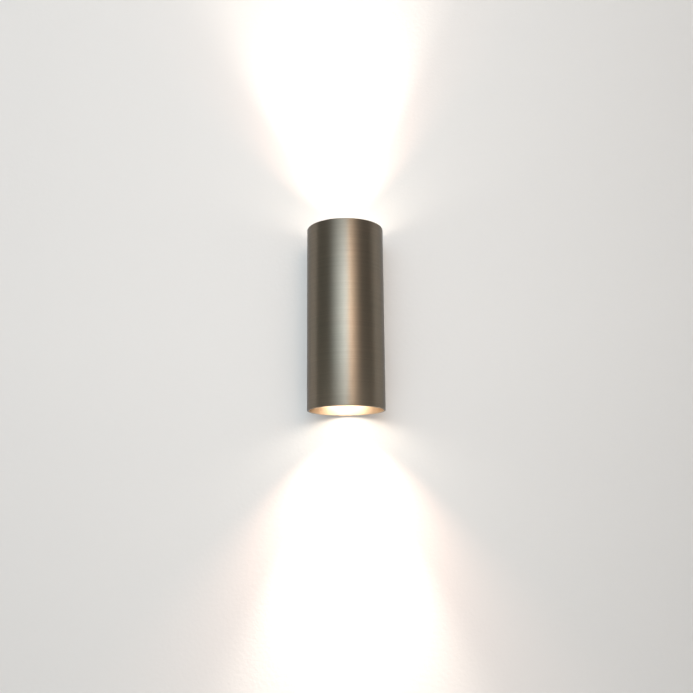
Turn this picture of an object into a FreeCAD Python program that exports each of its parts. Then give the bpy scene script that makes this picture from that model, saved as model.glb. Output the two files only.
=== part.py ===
# An up-and-down tube wall light: an open metal tube with a reflector lamp at each end.
#
# Frame: +Z is up, the wall is the plane Y = 0 and the room is on the -Y side. The origin is the
# centre of the wall bracket's back face. Lengths are in millimetres.
#
# How it comes apart: the bracket is screwed to the wall. The tube is pushed over the bracket's two
# ears, its chassis hangs on the bracket's shelf, and a set screw through each side of the tube
# presses on an ear. Inside the tube the chassis strip carries a U-shaped bridge with two lampholders
# back to back, and the terminal block behind them. Each lamp turns an eighth of a turn in its holder.
import FreeCAD, Part

import math
import os
import re

import Sketcher
from FreeCAD import Placement, Rotation, Vector

SIZES = [
    # The outer tube
    ("tube_diameter", 75),
    ("tube_wall", 2),
    ("tube_height", 180),
    ("rim_break", 0.4),
    ("wall_gap", 1),
    ("window_margin", 2),
    ("window_rise", 1.3),
    ("window_corner", 6),
    # Sheet metal in common
    ("sheet_thickness", 1.5),
    ("bend_radius", 1.2),
    # The wall bracket
    ("bracket_width", 49),
    ("bracket_height", 80),
    ("bracket_corner", 4),
    ("ear_height", 24),
    ("ear_nose", 7),
    ("ear_corner", 5),
    ("shelf_width", 26),
    ("shelf_depth", 14),
    ("shelf_corner", 3),
    ("slot_spacing", 54),
    ("slot_length", 10),
    ("slot_width", 5),
    ("cable_hole", 12),
    ("cable_hole_drop", 10),
    # The cable bush in the bracket
    ("bush_bore", 8.4),
    ("bush_flange", 16),
    ("bush_lip", 1.5),
    ("bush_gap", 0.1),
    # The two side set screws
    ("set_screw_thread", 4),
    ("set_screw_back", 6),
    ("set_screw_tip_gap", 0.1),
    ("set_screw_recess", 0.4),
    ("set_screw_socket", 2),
    # The chassis strip
    ("spine_back", 19.5),
    ("strip_width", 32),
    ("tab_width", 12),
    ("lip_gap", 0.2),
    ("tab_length", 18),
    ("seat_gap", 0.1),
    ("tab_screw_rise", 11),
    ("tab_screw_thread", 3),
    ("tab_screw_head", 5.8),
    ("tab_screw_length", 5.5),
    ("tab_screw_sink", 0.3),
    ("tab_screw_socket", 2),
    ("thread_gap", 0.05),
    # The bridge and its rivets
    ("bridge_gap", 15),
    ("rivet_spread", 25.6),
    ("rivet_shank", 3.2),
    ("rivet_head", 4.8),
    ("rivet_dome", 1),
    # The oblong wire bush through strip and bridge
    ("wire_way_width", 16),
    ("wire_way_height", 7.6),
    ("wire_bush_wall", 0.8),
    ("wire_bush_lip", 1),
    ("wire_bush_flange", 1),
    # Lampholders
    ("holder_diameter", 28),
    ("holder_height", 20),
    ("cap_thickness", 2),
    ("cap_inset", 0.6),
    ("socket_lip", 3.2),
    ("holder_screw_spread", 20),
    ("holder_screw_thread", 3),
    ("holder_screw_head", 5.5),
    ("holder_screw_head_height", 2),
    ("holder_screw_sink", 2.2),
    ("holder_screw_stand_out", 1.5),
    ("holder_screw_slack", 0.4),
    ("contact_thickness", 0.6),
    ("contact_width", 2.8),
    ("contact_gap", 0.1),
    ("contact_wall_gap", 0.4),
    # Lamps: two-pin twist-lock reflector lamps, 50 mm across
    ("lamp_seat_gap", 0.2),
    ("lamp_length", 47),
    ("lamp_diameter", 50),
    ("lamp_rim", 8),
    ("lamp_base_diameter", 26),
    ("lamp_base_height", 13),
    ("lamp_shoulder", 0.6),
    ("lamp_fin_count", 16),
    ("lamp_fin_gap", 2),
    ("lamp_fin_depth", 3),
    ("lamp_fin_margin", 1.5),
    ("lamp_mouth_wall", 2.6),
    ("lamp_mouth_depth", 2.6),
    ("lamp_floor", 26),
    ("led_board_diameter", 25),
    ("led_board_thickness", 1.6),
    ("led_diameter", 9),
    ("led_height", 1.3),
    ("optic_gap", 0.2),
    ("optic_sink", 0.6),
    ("optic_back_diameter", 13),
    ("optic_back_gap", 0.6),
    ("pin_spacing", 10),
    ("pin_neck", 3),
    ("pin_head", 5),
    ("pin_length", 7.5),
    ("pin_head_length", 3.5),
    ("pin_slot_gap", 0.3),
    ("pin_chamber_gap", 0.5),
    ("twist_angle", 45),
    # The terminal block
    ("pole_count", 3),
    ("pole_pitch", 8),
    ("block_end_wall", 0.5),
    ("block_height", 17),
    ("block_depth", 13),
    ("block_rise", 20),
    ("block_chamfer", 0.8),
    ("block_groove", 0.8),
    ("entry_width", 4.4),
    ("entry_depth", 6.4),
    ("entry_back", 7.5),
    ("clamp_length", 9),
    ("clamp_gap", 0.2),
    ("clamp_screw_thread", 2.5),
    ("clamp_screw_spread", 5),
    ("clamp_screw_sink", 0.6),
    ("block_screw_thread", 2.5),
    ("block_screw_head", 4.2),
    ("block_screw_head_height", 1.4),
    ("block_screw_sink", 1.6),
    ("block_screw_slack", 0.2),
    # The earth point
    ("earth_drop", 24),
    ("earth_screw_thread", 4),
    ("earth_screw_head", 7),
    ("earth_screw_head_height", 2.6),
    ("earth_ring_diameter", 8),
    ("earth_ring_thickness", 0.8),
    ("earth_barrel_diameter", 3.4),
    ("earth_barrel_start", 6),
    ("earth_barrel_length", 5),
    ("screw_slot_width", 0.8),
    ("screw_slot_depth", 1),
    # Wires inside
    ("wire_diameter", 2),
    ("wire_hole_gap", 0.3),
    ("deck_wire_hole", 4),
    ("wire_lane", 2.2),
    ("wire_pair_spacing", 2.8),
]
NAMES = {name for name, _ in SIZES}

doc = FreeCAD.newDocument("TubeWallLight")
sheet = doc.addObject("Spreadsheet::Sheet", "sizes")
for row, (name, number) in enumerate(SIZES, 1):
    sheet.set(f"A{row}", name)
    sheet.set(f"B{row}", str(number))
    sheet.setAlias(f"B{row}", name)
doc.recompute()

# Places that several pieces share, each a formula over the sizes. Those that start with AXIS are
# measured from the tube's centre line, with +Y towards the wall.
AXIS_TO_WALL = "(wall_gap + tube_diameter / 2)"
INNER_RADIUS = "(tube_diameter / 2 - tube_wall)"
EAR_FACE = "(bracket_width / 2)"
LIP_IN = "(bracket_height / 2 + lip_gap)"
LIP_OUT = f"({LIP_IN} + sheet_thickness)"
TAB_SCREW = f"({LIP_OUT} + tab_screw_rise)"
SEAT_RADIUS = f"({INNER_RADIUS} - seat_gap)"
SPINE_FRONT = "(spine_back - sheet_thickness)"
WEB_FRONT = f"({SPINE_FRONT} - sheet_thickness)"
DECK = "(bridge_gap / 2 + sheet_thickness)"
LAMP_SEAT = f"({DECK} + holder_height + lamp_seat_gap)"
ENTRY = "(spine_back + entry_back)"
BLOCK_WIDTH = "(pole_count * pole_pitch + 2 * block_end_wall)"
OUTER_BEND = "(sheet_thickness + bend_radius)"
WIRE_HOLE_WIDTH = "(wire_way_width + 2 * wire_bush_wall)"
WIRE_HOLE_HEIGHT = "(wire_way_height + 2 * wire_bush_wall)"
HOLDER_SCREW_REACH = "(holder_height - holder_screw_sink + sheet_thickness + holder_screw_stand_out)"

TURNS = {
    "Z": Rotation(),
    "-Z": Rotation(Vector(0, 1, 0), 180),
    "Y": Rotation(Vector(1, 0, 0), -90),
    "-Y": Rotation(Vector(1, 0, 0), 90),
    "X": Rotation(Vector(0, 1, 0), 90),
    "-X": Rotation(Vector(0, 1, 0), -90),
}
parts = []


# ---- Helpers --------------------------------------------------------------------------------


def formula(text):
    """The text with the sheet's name put in front of each size."""
    return re.sub(r"[a-z_]\w*", lambda word: f"sizes.{word[0]}" if word[0] in NAMES else word[0], text)


def number(text):
    """What a formula over the sizes comes to."""
    return float(sheet.evalExpression(formula(text)))


def bind(thing, **formulas):
    """Ties properties of a thing to the sheet."""
    for name, text in formulas.items():
        thing.setExpression(name, formula(text))


def place(thing, at, along="Z"):
    """Puts a thing at a point given by three formulas, with its own Z axis along the named one."""
    thing.Placement = Placement(Vector(*map(number, at)), TURNS[along])
    for letter, text in zip("xyz", at):
        thing.setExpression(f"Placement.Base.{letter}", formula(text))
    return thing


def on_axis(thing):
    """Moves a thing drawn round the tube's centre line to where that line is."""
    return place(thing, ("0", f"-{AXIS_TO_WALL}", "0"))


def body(label):
    made = doc.addObject("PartDesign::Body", label)
    made.Label = label
    return made


def sketch(owner, plane, lift="0"):
    """A sketch on one of a body's own planes, lifted along the plane's normal: +Z, -Y or +X."""
    made = owner.newObject("Sketcher::SketchObject", f"{owner.Label}_sketch")
    support = next(f for f in owner.Origin.OriginFeatures if f.Role == f"{plane}_Plane")
    made.AttachmentSupport = [(support, "")]
    made.MapMode = "FlatFace"
    made.setExpression("AttachmentOffset.Base.z", formula(lift))
    return made


def pin_down(drawn, curve, end, x, y):
    """Fixes one point of a curve at two formulas."""
    for kind, text in (("DistanceX", x), ("DistanceY", y)):
        rule = drawn.addConstraint(Sketcher.Constraint(kind, -1, 1, curve, end, number(text)))
        drawn.setExpression(f"Constraints[{rule}]", formula(text))


def outline(drawn, corners):
    """A closed outline. A corner is (x, y), followed by a straight edge, or (x, y, cx, cy, way),
    followed by an arc about (cx, cy), anticlockwise if way is 1 and clockwise if it is -1."""
    first = drawn.GeometryCount
    count = len(corners)
    spots = [Vector(number(corner[0]), number(corner[1]), 0) for corner in corners]
    ends = []
    for i, corner in enumerate(corners):
        here, there = spots[i], spots[(i + 1) % count]
        if len(corner) == 2:
            drawn.addGeometry(Part.LineSegment(here, there), False)
            ends.append((1, 2))
            continue
        centre = Vector(number(corner[2]), number(corner[3]), 0)
        low, high = (here, there) if corner[4] == 1 else (there, here)
        circle = Part.Circle(centre, Vector(0, 0, 1), (here - centre).Length)
        start = math.atan2(low.y - centre.y, low.x - centre.x)
        stop = math.atan2(high.y - centre.y, high.x - centre.x)
        while stop <= start:
            stop += 2 * math.pi
        drawn.addGeometry(Part.ArcOfCircle(circle, start, stop), False)
        ends.append((1, 2) if corner[4] == 1 else (2, 1))
    for i in range(count):
        after = (i + 1) % count
        drawn.addConstraint(
            Sketcher.Constraint("Coincident", first + i, ends[i][1], first + after, ends[after][0])
        )
        pin_down(drawn, first + i, ends[i][0], corners[i][0], corners[i][1])
    for i, corner in enumerate(corners):
        if len(corner) > 2:
            chord = spots[(i + 1) % count] - spots[i]
            lying = abs(chord.x) > abs(chord.y)
            kind, text = ("DistanceY", corner[3]) if lying else ("DistanceX", corner[2])
            rule = drawn.addConstraint(Sketcher.Constraint(kind, -1, 1, first + i, 3, number(text)))
            drawn.setExpression(f"Constraints[{rule}]", formula(text))
    return drawn


def rectangle(drawn, left, right, low, high, corner=None):
    """A rectangle between four formulas, with rounded corners if a radius is given."""
    if corner is None:
        return outline(drawn, [(left, low), (right, low), (right, high), (left, high)])
    inner_left, inner_right = f"{left} + {corner}", f"{right} - {corner}"
    inner_low, inner_high = f"{low} + {corner}", f"{high} - {corner}"
    return outline(
        drawn,
        [
            (inner_left, low),
            (inner_right, low, inner_right, inner_low, 1),
            (right, inner_low),
            (right, inner_high, inner_right, inner_high, 1),
            (inner_right, high),
            (inner_left, high, inner_left, inner_high, 1),
            (left, inner_high),
            (left, inner_low, inner_left, inner_low, 1),
        ],
    )


def circle(drawn, x, y, radius):
    drawn_circle = Part.Circle(Vector(number(x), number(y), 0), Vector(0, 0, 1), number(radius))
    index = drawn.addGeometry(drawn_circle, False)
    pin_down(drawn, index, 3, x, y)
    rule = drawn.addConstraint(Sketcher.Constraint("Radius", index, number(radius)))
    drawn.setExpression(f"Constraints[{rule}]", formula(radius))
    return drawn


def oblong(drawn, width, height, x="0", y="0"):
    """A slot with round ends, lying along the sketch's first axis, or standing if it is taller."""
    lying = number(width) > number(height)
    end = f"({height}) / 2" if lying else f"({width}) / 2"
    far = f"({width}) / 2 - {end}" if lying else f"({height}) / 2 - {end}"
    if lying:
        left, right = f"{x} - ({far})", f"{x} + {far}"
        low, high = f"{y} - {end}", f"{y} + {end}"
        return outline(
            drawn, [(left, low), (right, low, right, y, 1), (right, high), (left, high, left, y, 1)]
        )
    low, high = f"{y} - ({far})", f"{y} + {far}"
    left, right = f"{x} - {end}", f"{x} + {end}"
    return outline(drawn, [(right, low), (right, high, x, high, 1), (left, high), (left, low, x, low, 1)])


def feature(owner, kind, drawn, length, symmetric=False, backwards=False):
    """A Pad or a Pocket of a sketch."""
    made = owner.newObject(f"PartDesign::{kind}", f"{owner.Label}_{kind.lower()}")
    made.Profile = drawn
    made.Type = "Length"
    made.Reversed = backwards
    if symmetric:
        made.SideType = "Symmetric"
    bind(made, Length=length)
    drawn.Visibility = False
    return made


def pad(owner, drawn, length, **options):
    return feature(owner, "Pad", drawn, length, **options)


def pocket(owner, drawn, length, **options):
    """A Pocket, which must take material away."""
    doc.recompute()
    before = owner.Shape.Volume
    made = feature(owner, "Pocket", drawn, length, **options)
    doc.recompute()
    if owner.Shape.Volume > before - 1e-6:
        raise RuntimeError(f"a pocket in {owner.Label} cuts nothing")
    return made


def revolve(owner, drawn):
    """The sketch turned once round its own upright axis."""
    made = owner.newObject("PartDesign::Revolution", f"{owner.Label}_revolution")
    made.Profile = drawn
    made.ReferenceAxis = (drawn, ["V_Axis"])
    made.Angle = 360
    drawn.Visibility = False
    return made


def edges_near(owner, test):
    """The names of the edges whose middle passes a test."""
    doc.recompute()
    names = []
    for index, edge in enumerate(owner.Tip.Shape.Edges, 1):
        middle = edge.valueAt((edge.FirstParameter + edge.LastParameter) / 2)
        if test(edge, middle):
            names.append(f"Edge{index}")
    if not names:
        raise RuntimeError(f"no edge found on {owner.Label}")
    return names


def soften(owner, kind, size, test):
    """A Fillet or a Chamfer on the edges that pass a test."""
    base = owner.Tip
    names = edges_near(owner, test)
    made = owner.newObject(f"PartDesign::{kind}", f"{owner.Label}_{kind.lower()}")
    made.Base = (base, names)
    bind(made, **{"Radius" if kind == "Fillet" else "Size": size})
    return made


def close(a, b):
    return abs(a - b) < 1e-4


def cylinder(label, radius, height, at, along="Z"):
    made = doc.addObject("Part::Cylinder", label)
    bind(made, Radius=radius, Height=height)
    return place(made, at, along)


def cone(label, start, stop, height, at, along="Z"):
    made = doc.addObject("Part::Cone", label)
    bind(made, Radius1=start, Radius2=stop, Height=height)
    return place(made, at, along)


def fuse(label, pieces):
    made = doc.addObject("Part::MultiFuse", label)
    made.Shapes = pieces
    made.Refine = True
    return made


def cut(label, base, tools):
    made = doc.addObject("Part::Cut", label)
    made.Base = base
    made.Tool = tools[0] if len(tools) == 1 else fuse(f"{label}_holes", tools)
    return made


def group(label, pieces):
    """Like pieces that share one node."""
    made = doc.addObject("Part::Compound", label)
    made.Links = pieces
    return made


def keep(thing, label):
    """Names a finished sub-part, which is then written out."""
    thing.Label = label
    parts.append(thing)
    return thing


def hexagon(drawn, flats):
    """A hexagonal socket across the given flats."""
    corners = [(f"{flats} / sqrt(3) * cos({60 * i})", f"{flats} / sqrt(3) * sin({60 * i})") for i in range(6)]
    return outline(drawn, corners)


def screw(label, thread, length, head, head_height, at, along):
    """A slotted cheese-head screw. Its head rests at its own Z = 0 and its shank points down -Z."""
    made = body(label)
    revolve(
        made,
        outline(
            sketch(made, "XZ"),
            [
                ("0", f"-({length})"),
                (f"{thread} / 2", f"-({length})"),
                (f"{thread} / 2", "0"),
                (f"{head} / 2", "0"),
                (f"{head} / 2", head_height),
                ("0", head_height),
            ],
        ),
    )
    slot = rectangle(
        sketch(made, "XY", head_height),
        f"-{head}",
        head,
        "-screw_slot_width / 2",
        "screw_slot_width / 2",
    )
    pocket(made, slot, f"min(screw_slot_depth; 0.6 * {head_height})")
    return place(made, at, along)


# ---- Wall bracket ---------------------------------------------------------------------------


def wall_bracket():
    """A folded plate: a flat back with two screw slots, an ear each side and a shelf on top."""
    made = body("bracket")
    half = f"({EAR_FACE} - {OUTER_BEND})"
    top = f"(bracket_height / 2 - {OUTER_BEND})"
    back = rectangle(sketch(made, "XZ"), f"-{half}", half, "-bracket_height / 2", top, "bracket_corner")
    pad(made, back, "sheet_thickness")
    tongue = rectangle(sketch(made, "XZ"), f"-{EAR_FACE}", EAR_FACE, "-ear_height / 2", "ear_height / 2")
    pad(made, tongue, "sheet_thickness")
    neck = rectangle(sketch(made, "XZ"), "-shelf_width / 2", "shelf_width / 2", "0", "bracket_height / 2")
    pad(made, neck, "sheet_thickness")
    ear_tip = f"-({AXIS_TO_WALL} - set_screw_back + ear_nose)"
    ear_end = f"{ear_tip} + ear_corner"
    ear_high, ear_low = "ear_height / 2 - ear_corner", "-ear_height / 2 + ear_corner"
    for start in (f"-{EAR_FACE}", f"{EAR_FACE} - sheet_thickness"):
        ear = outline(
            sketch(made, "YZ", start),
            [
                ("0", "-ear_height / 2"),
                ("0", "ear_height / 2"),
                (ear_end, "ear_height / 2", ear_end, ear_high, 1),
                (ear_tip, ear_high),
                (ear_tip, ear_low, ear_end, ear_low, 1),
                (ear_end, "-ear_height / 2"),
            ],
        )
        pad(made, ear, "sheet_thickness")
    shelf = rectangle(
        sketch(made, "XY", "bracket_height / 2 - sheet_thickness"),
        "-shelf_width / 2",
        "shelf_width / 2",
        "-shelf_depth",
        "0",
    )
    pad(made, shelf, "sheet_thickness")
    thick, side, high = number("sheet_thickness"), number(EAR_FACE), number("bracket_height / 2")
    soften(
        made,
        "Fillet",
        OUTER_BEND,
        lambda edge, at: (close(abs(at.x), side) and close(at.y, 0) and close(at.z, 0))
        or (close(at.z, high) and close(at.y, 0) and close(at.x, 0)),
    )
    soften(
        made,
        "Fillet",
        "bend_radius",
        lambda edge, at: (close(abs(at.x), side - thick) and close(at.y, -thick) and close(at.z, 0))
        or (close(at.z, high - thick) and close(at.y, -thick) and close(at.x, 0)),
    )
    shelf_side, shelf_tip = number("shelf_width / 2"), -number("shelf_depth")
    soften(
        made,
        "Fillet",
        "shelf_corner",
        lambda edge, at: close(abs(at.x), shelf_side) and close(at.y, shelf_tip),
    )
    for sign in ("", "-"):
        slot = sketch(made, "XZ", "sheet_thickness")
        oblong(slot, "slot_width", "slot_length", "0", f"{sign}slot_spacing / 2")
        pocket(made, slot, "2 * sheet_thickness")
    hole = circle(sketch(made, "XZ", "sheet_thickness"), "0", "-cable_hole_drop", "cable_hole / 2")
    pocket(made, hole, "2 * sheet_thickness")
    return keep(made, "wall_bracket")


def cable_bush():
    """The plastic bush that the supply cable enters through, snapped into the bracket from the front."""
    made = body("bush")
    bore, sleeve, flange = "bush_bore / 2", "cable_hole / 2 - bush_gap", "bush_flange / 2"
    revolve(
        made,
        outline(
            sketch(made, "XZ"),
            [
                (bore, "0"),
                (sleeve, "0"),
                (sleeve, "sheet_thickness"),
                (flange, "sheet_thickness"),
                (flange, "sheet_thickness + bush_lip"),
                (bore, "sheet_thickness + bush_lip"),
            ],
        ),
    )
    return keep(place(made, ("0", "0", "-cable_hole_drop"), "-Y"), "cable_bush")


# ---- Tube -----------------------------------------------------------------------------------


def tube():
    """A length of tube, open at both ends, with a window in its back for the bracket."""
    made = body("shell")
    ring = circle(sketch(made, "XY"), "0", "0", "tube_diameter / 2")
    circle(ring, "0", "0", INNER_RADIUS)
    pad(made, ring, "tube_height", symmetric=True)
    rim = number("tube_height / 2")
    soften(made, "Chamfer", "rim_break", lambda edge, at: close(abs(at.z), rim))
    window_side = f"({EAR_FACE} + window_margin)"
    window_top = f"({LIP_OUT} + window_rise)"
    window = rectangle(
        sketch(made, "XZ"), f"-{window_side}", window_side, f"-{window_top}", window_top, "window_corner"
    )
    pocket(made, window, "tube_diameter")
    for side in ("-", ""):
        hole = circle(sketch(made, "YZ"), "set_screw_back", "0", "set_screw_thread / 2 + thread_gap")
        pocket(made, hole, "tube_diameter", backwards=side == "-")
    place(made, ("0", f"-{AXIS_TO_WALL}", "0"))
    holes = []
    for sign in ("", "-"):
        height = f"{sign}{TAB_SCREW}"
        name = "upper" if sign == "" else "lower"
        holes.append(
            cylinder(
                f"{name}_clear_hole",
                "tab_screw_thread / 2 + thread_gap",
                "2 * tube_wall",
                ("0", "-wall_gap - 2 * tube_wall", height),
                "Y",
            )
        )
        holes.append(
            cone(
                f"{name}_countersink",
                "tab_screw_thread / 2 - tab_screw_sink",
                "tab_screw_head / 2 + 1",
                "(tab_screw_head - tab_screw_thread) / 2 + tab_screw_sink + 1",
                ("0", "-wall_gap - (tab_screw_head - tab_screw_thread) / 2 - 2 * tab_screw_sink", height),
                "Y",
            )
        )
    return keep(cut("tube_cut", made, holes), "tube")


def set_screws():
    """Two headless screws with hexagonal sockets, through the tube's sides onto the bracket's ears."""
    length = f"(tube_diameter / 2 - set_screw_recess - {EAR_FACE} - set_screw_tip_gap)"
    made = []
    for name, sign, along in (("left", "-", "X"), ("right", "", "-X")):
        one = body(f"{name}_set_screw")
        pad(one, circle(sketch(one, "XY"), "0", "0", "set_screw_thread / 2"), length)
        pocket(one, hexagon(sketch(one, "XY"), "set_screw_socket"), "set_screw_socket", backwards=True)
        end = f"{sign}(tube_diameter / 2 - set_screw_recess)"
        made.append(place(one, (end, f"set_screw_back - {AXIS_TO_WALL}", "0"), along))
    return keep(group("set_screw_pair", made), "set_screws")


# ---- Chassis strip and bridge -----------------------------------------------------------------


def chassis_strip():
    """A hat-shaped strip: an upright spine behind the holders, a lip at each end that goes back to
    the tube, and a narrow tab screwed to the tube's inside above and below the window."""
    made = body("strip")
    side, tab = "strip_width / 2", "tab_width / 2"
    spine = rectangle(sketch(made, "XZ", f"-({SPINE_FRONT})"), f"-{side}", side, f"-{LIP_OUT}", LIP_OUT)
    pad(made, spine, "sheet_thickness", backwards=True)
    shoulder = f"sqrt({SEAT_RADIUS} ^ 2 - ({side}) ^ 2)"
    seat = f"sqrt({SEAT_RADIUS} ^ 2 - ({tab}) ^ 2)"
    for lip_start, tab_start in (
        (LIP_IN, LIP_IN),
        (f"-{LIP_OUT}", f"-({LIP_OUT} + tab_length)"),
    ):
        lip = outline(
            sketch(made, "XY", lip_start),
            [
                (f"-{side}", SPINE_FRONT),
                (side, SPINE_FRONT),
                (side, shoulder),
                (tab, shoulder),
                (tab, seat),
                (f"-{tab}", seat),
                (f"-{tab}", shoulder),
                (f"-{side}", shoulder),
            ],
        )
        pad(made, lip, "sheet_thickness")
        tongue = rectangle(sketch(made, "XY", tab_start), f"-{tab}", tab, f"{seat} - sheet_thickness", seat)
        pad(made, tongue, "sheet_thickness + tab_length")
    back, front, rear = map(number, ("spine_back", SPINE_FRONT, seat))
    lip_in, lip_out, thick = map(number, (LIP_IN, LIP_OUT, "sheet_thickness"))
    soften(
        made,
        "Fillet",
        OUTER_BEND,
        lambda edge, at: close(at.x, 0)
        and (
            (close(at.y, front) and close(abs(at.z), lip_out))
            or (close(at.y, rear) and close(abs(at.z), lip_in))
        ),
    )
    soften(
        made,
        "Fillet",
        "bend_radius",
        lambda edge, at: close(at.x, 0)
        and (
            (close(at.y, back) and close(abs(at.z), lip_in))
            or (close(at.y, rear - thick) and close(abs(at.z), lip_out))
        ),
    )
    pocket(made, oblong(sketch(made, "XZ"), WIRE_HOLE_WIDTH, WIRE_HOLE_HEIGHT), "tube_diameter")
    holes = [("0", f"{TAB_SCREW}", "tab_screw_thread / 2 + thread_gap")]
    holes.append(("0", f"-{TAB_SCREW}", "tab_screw_thread / 2 + thread_gap"))
    holes.append(("rivet_spread / 2", "0", "rivet_shank / 2 + thread_gap"))
    holes.append(("-rivet_spread / 2", "0", "rivet_shank / 2 + thread_gap"))
    holes.append(("pole_pitch / 2", "block_rise", "block_screw_thread / 2 + thread_gap"))
    holes.append(("-pole_pitch / 2", "block_rise", "block_screw_thread / 2 + thread_gap"))
    holes.append(("0", "-earth_drop", "earth_screw_thread / 2 + thread_gap"))
    drilled = sketch(made, "XZ")
    for x, z, radius in holes:
        circle(drilled, x, z, radius)
    pocket(made, drilled, "tube_diameter")
    return keep(on_axis(made), "chassis_strip")


def tab_screws():
    """Countersunk screws through the tube's back into the chassis tabs, flush with the tube."""
    made = []
    for sign in ("", "-"):
        one = body("tab_screw")
        head, thread = "tab_screw_head / 2", "tab_screw_thread / 2"
        revolve(
            one,
            outline(
                sketch(one, "XZ"),
                [
                    ("0", "0"),
                    (head, "0"),
                    (thread, f"{head} - {thread}"),
                    (thread, "tab_screw_length"),
                    ("0", "tab_screw_length"),
                ],
            ),
        )
        pocket(one, hexagon(sketch(one, "XY"), "tab_screw_socket"), "0.6 * tab_screw_socket", backwards=True)
        made.append(place(one, ("0", "-wall_gap - tab_screw_sink", f"{sign}{TAB_SCREW}"), "-Y"))
    return keep(group("tab_screw_pair", made), "chassis_screws")


def holder_bridge():
    """A U-shaped bracket: its web is riveted to the spine and its two decks carry the lampholders."""
    made = body("bridge")
    side = "strip_width / 2"
    web = rectangle(sketch(made, "XZ", f"-({WEB_FRONT})"), f"-{side}", side, f"-{DECK}", DECK)
    pad(made, web, "sheet_thickness", backwards=True)
    for lift in ("bridge_gap / 2", f"-{DECK}"):
        deck = outline(
            sketch(made, "XY", lift),
            [
                (side, "0"),
                (side, SPINE_FRONT),
                (f"-{side}", SPINE_FRONT),
                (f"-{side}", "0", "0", "0", 1),
            ],
        )
        pad(made, deck, "sheet_thickness")
    front, back, deck_in, deck_out = map(number, (WEB_FRONT, SPINE_FRONT, "bridge_gap / 2", DECK))
    soften(made, "Fillet", OUTER_BEND, lambda edge, at: close(at.y, back) and close(abs(at.z), deck_out))
    soften(
        made,
        "Fillet",
        "bend_radius",
        lambda edge, at: close(at.y, front) and close(abs(at.z), deck_in) and close(at.x, 0),
    )
    drilled = sketch(made, "XY")
    for x, y, radius in (
        ("pin_spacing / 2", "0", "deck_wire_hole / 2"),
        ("-pin_spacing / 2", "0", "deck_wire_hole / 2"),
        ("0", "holder_screw_spread / 2", "holder_screw_thread / 2 + thread_gap"),
        ("0", "-holder_screw_spread / 2", "holder_screw_thread / 2 + thread_gap"),
    ):
        circle(drilled, x, y, radius)
    pocket(made, drilled, f"4 * {DECK}", symmetric=True)
    pierced = oblong(sketch(made, "XZ"), WIRE_HOLE_WIDTH, WIRE_HOLE_HEIGHT)
    for x in ("-rivet_spread / 2", "rivet_spread / 2"):
        circle(pierced, x, "0", "rivet_shank / 2 + thread_gap")
    pocket(made, pierced, "tube_diameter")
    return keep(on_axis(made), "holder_bridge")


def bridge_rivets():
    """Blind rivets through the bridge's web and the spine."""
    made = []
    for sign in ("-", ""):
        one = body("rivet")
        shank, head = "rivet_shank / 2", "rivet_head / 2"
        grip = "2 * sheet_thickness"
        revolve(
            one,
            outline(
                sketch(one, "XZ"),
                [
                    ("0", "-rivet_dome"),
                    (head, "0"),
                    (shank, "0"),
                    (shank, grip),
                    (f"0.85 * {head}", grip),
                    ("0", f"{grip} + rivet_dome"),
                ],
            ),
        )
        made.append(place(one, (f"{sign}rivet_spread / 2", f"{WEB_FRONT} - {AXIS_TO_WALL}", "0"), "Y"))
    return keep(group("rivet_pair", made), "bridge_rivets")


def wire_bush():
    """An oblong bush that keeps the wires off the edges of the spine and the web."""
    made = body("wire_bush_body")
    web, spine = WEB_FRONT, "spine_back"
    layers = [
        (f"-({web} - wire_bush_flange)", "wire_bush_flange", "2 * wire_bush_lip"),
        (f"-({web})", f"{spine} - {web}", "-2 * bush_gap"),
        (f"-({spine})", "wire_bush_flange", "2 * wire_bush_lip"),
    ]
    for lift, length, extra in layers:
        width, height = f"{WIRE_HOLE_WIDTH} + {extra}", f"{WIRE_HOLE_HEIGHT} + {extra}"
        pad(made, oblong(sketch(made, "XZ", lift), width, height), length, backwards=True)
    pocket(made, oblong(sketch(made, "XZ"), "wire_way_width", "wire_way_height"), "tube_diameter")
    return keep(on_axis(made), "wire_bush")


# ---- Lampholders ------------------------------------------------------------------------------


def pin_track(drawn, width, sign):
    """The path of one lamp pin over the twist: a curved slot with round ends."""
    radius, turn = "pin_spacing / 2", "twist_angle"
    near, far = f"({radius} - ({width}) / 2)", f"({radius} + ({width}) / 2)"
    cosine, sine = f"{sign}cos({turn})", f"{sign}sin({turn})"
    return outline(
        drawn,
        [
            (f"{sign}{far}", "0", "0", "0", 1),
            (f"{far} * ({cosine})", f"{far} * ({sine})", f"{radius} * ({cosine})", f"{radius} * ({sine})", 1),
            (f"{near} * ({cosine})", f"{near} * ({sine})", "0", "0", -1),
            (f"{sign}{near}", "0", f"{sign}{radius}", "0", 1),
        ],
    )


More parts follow.
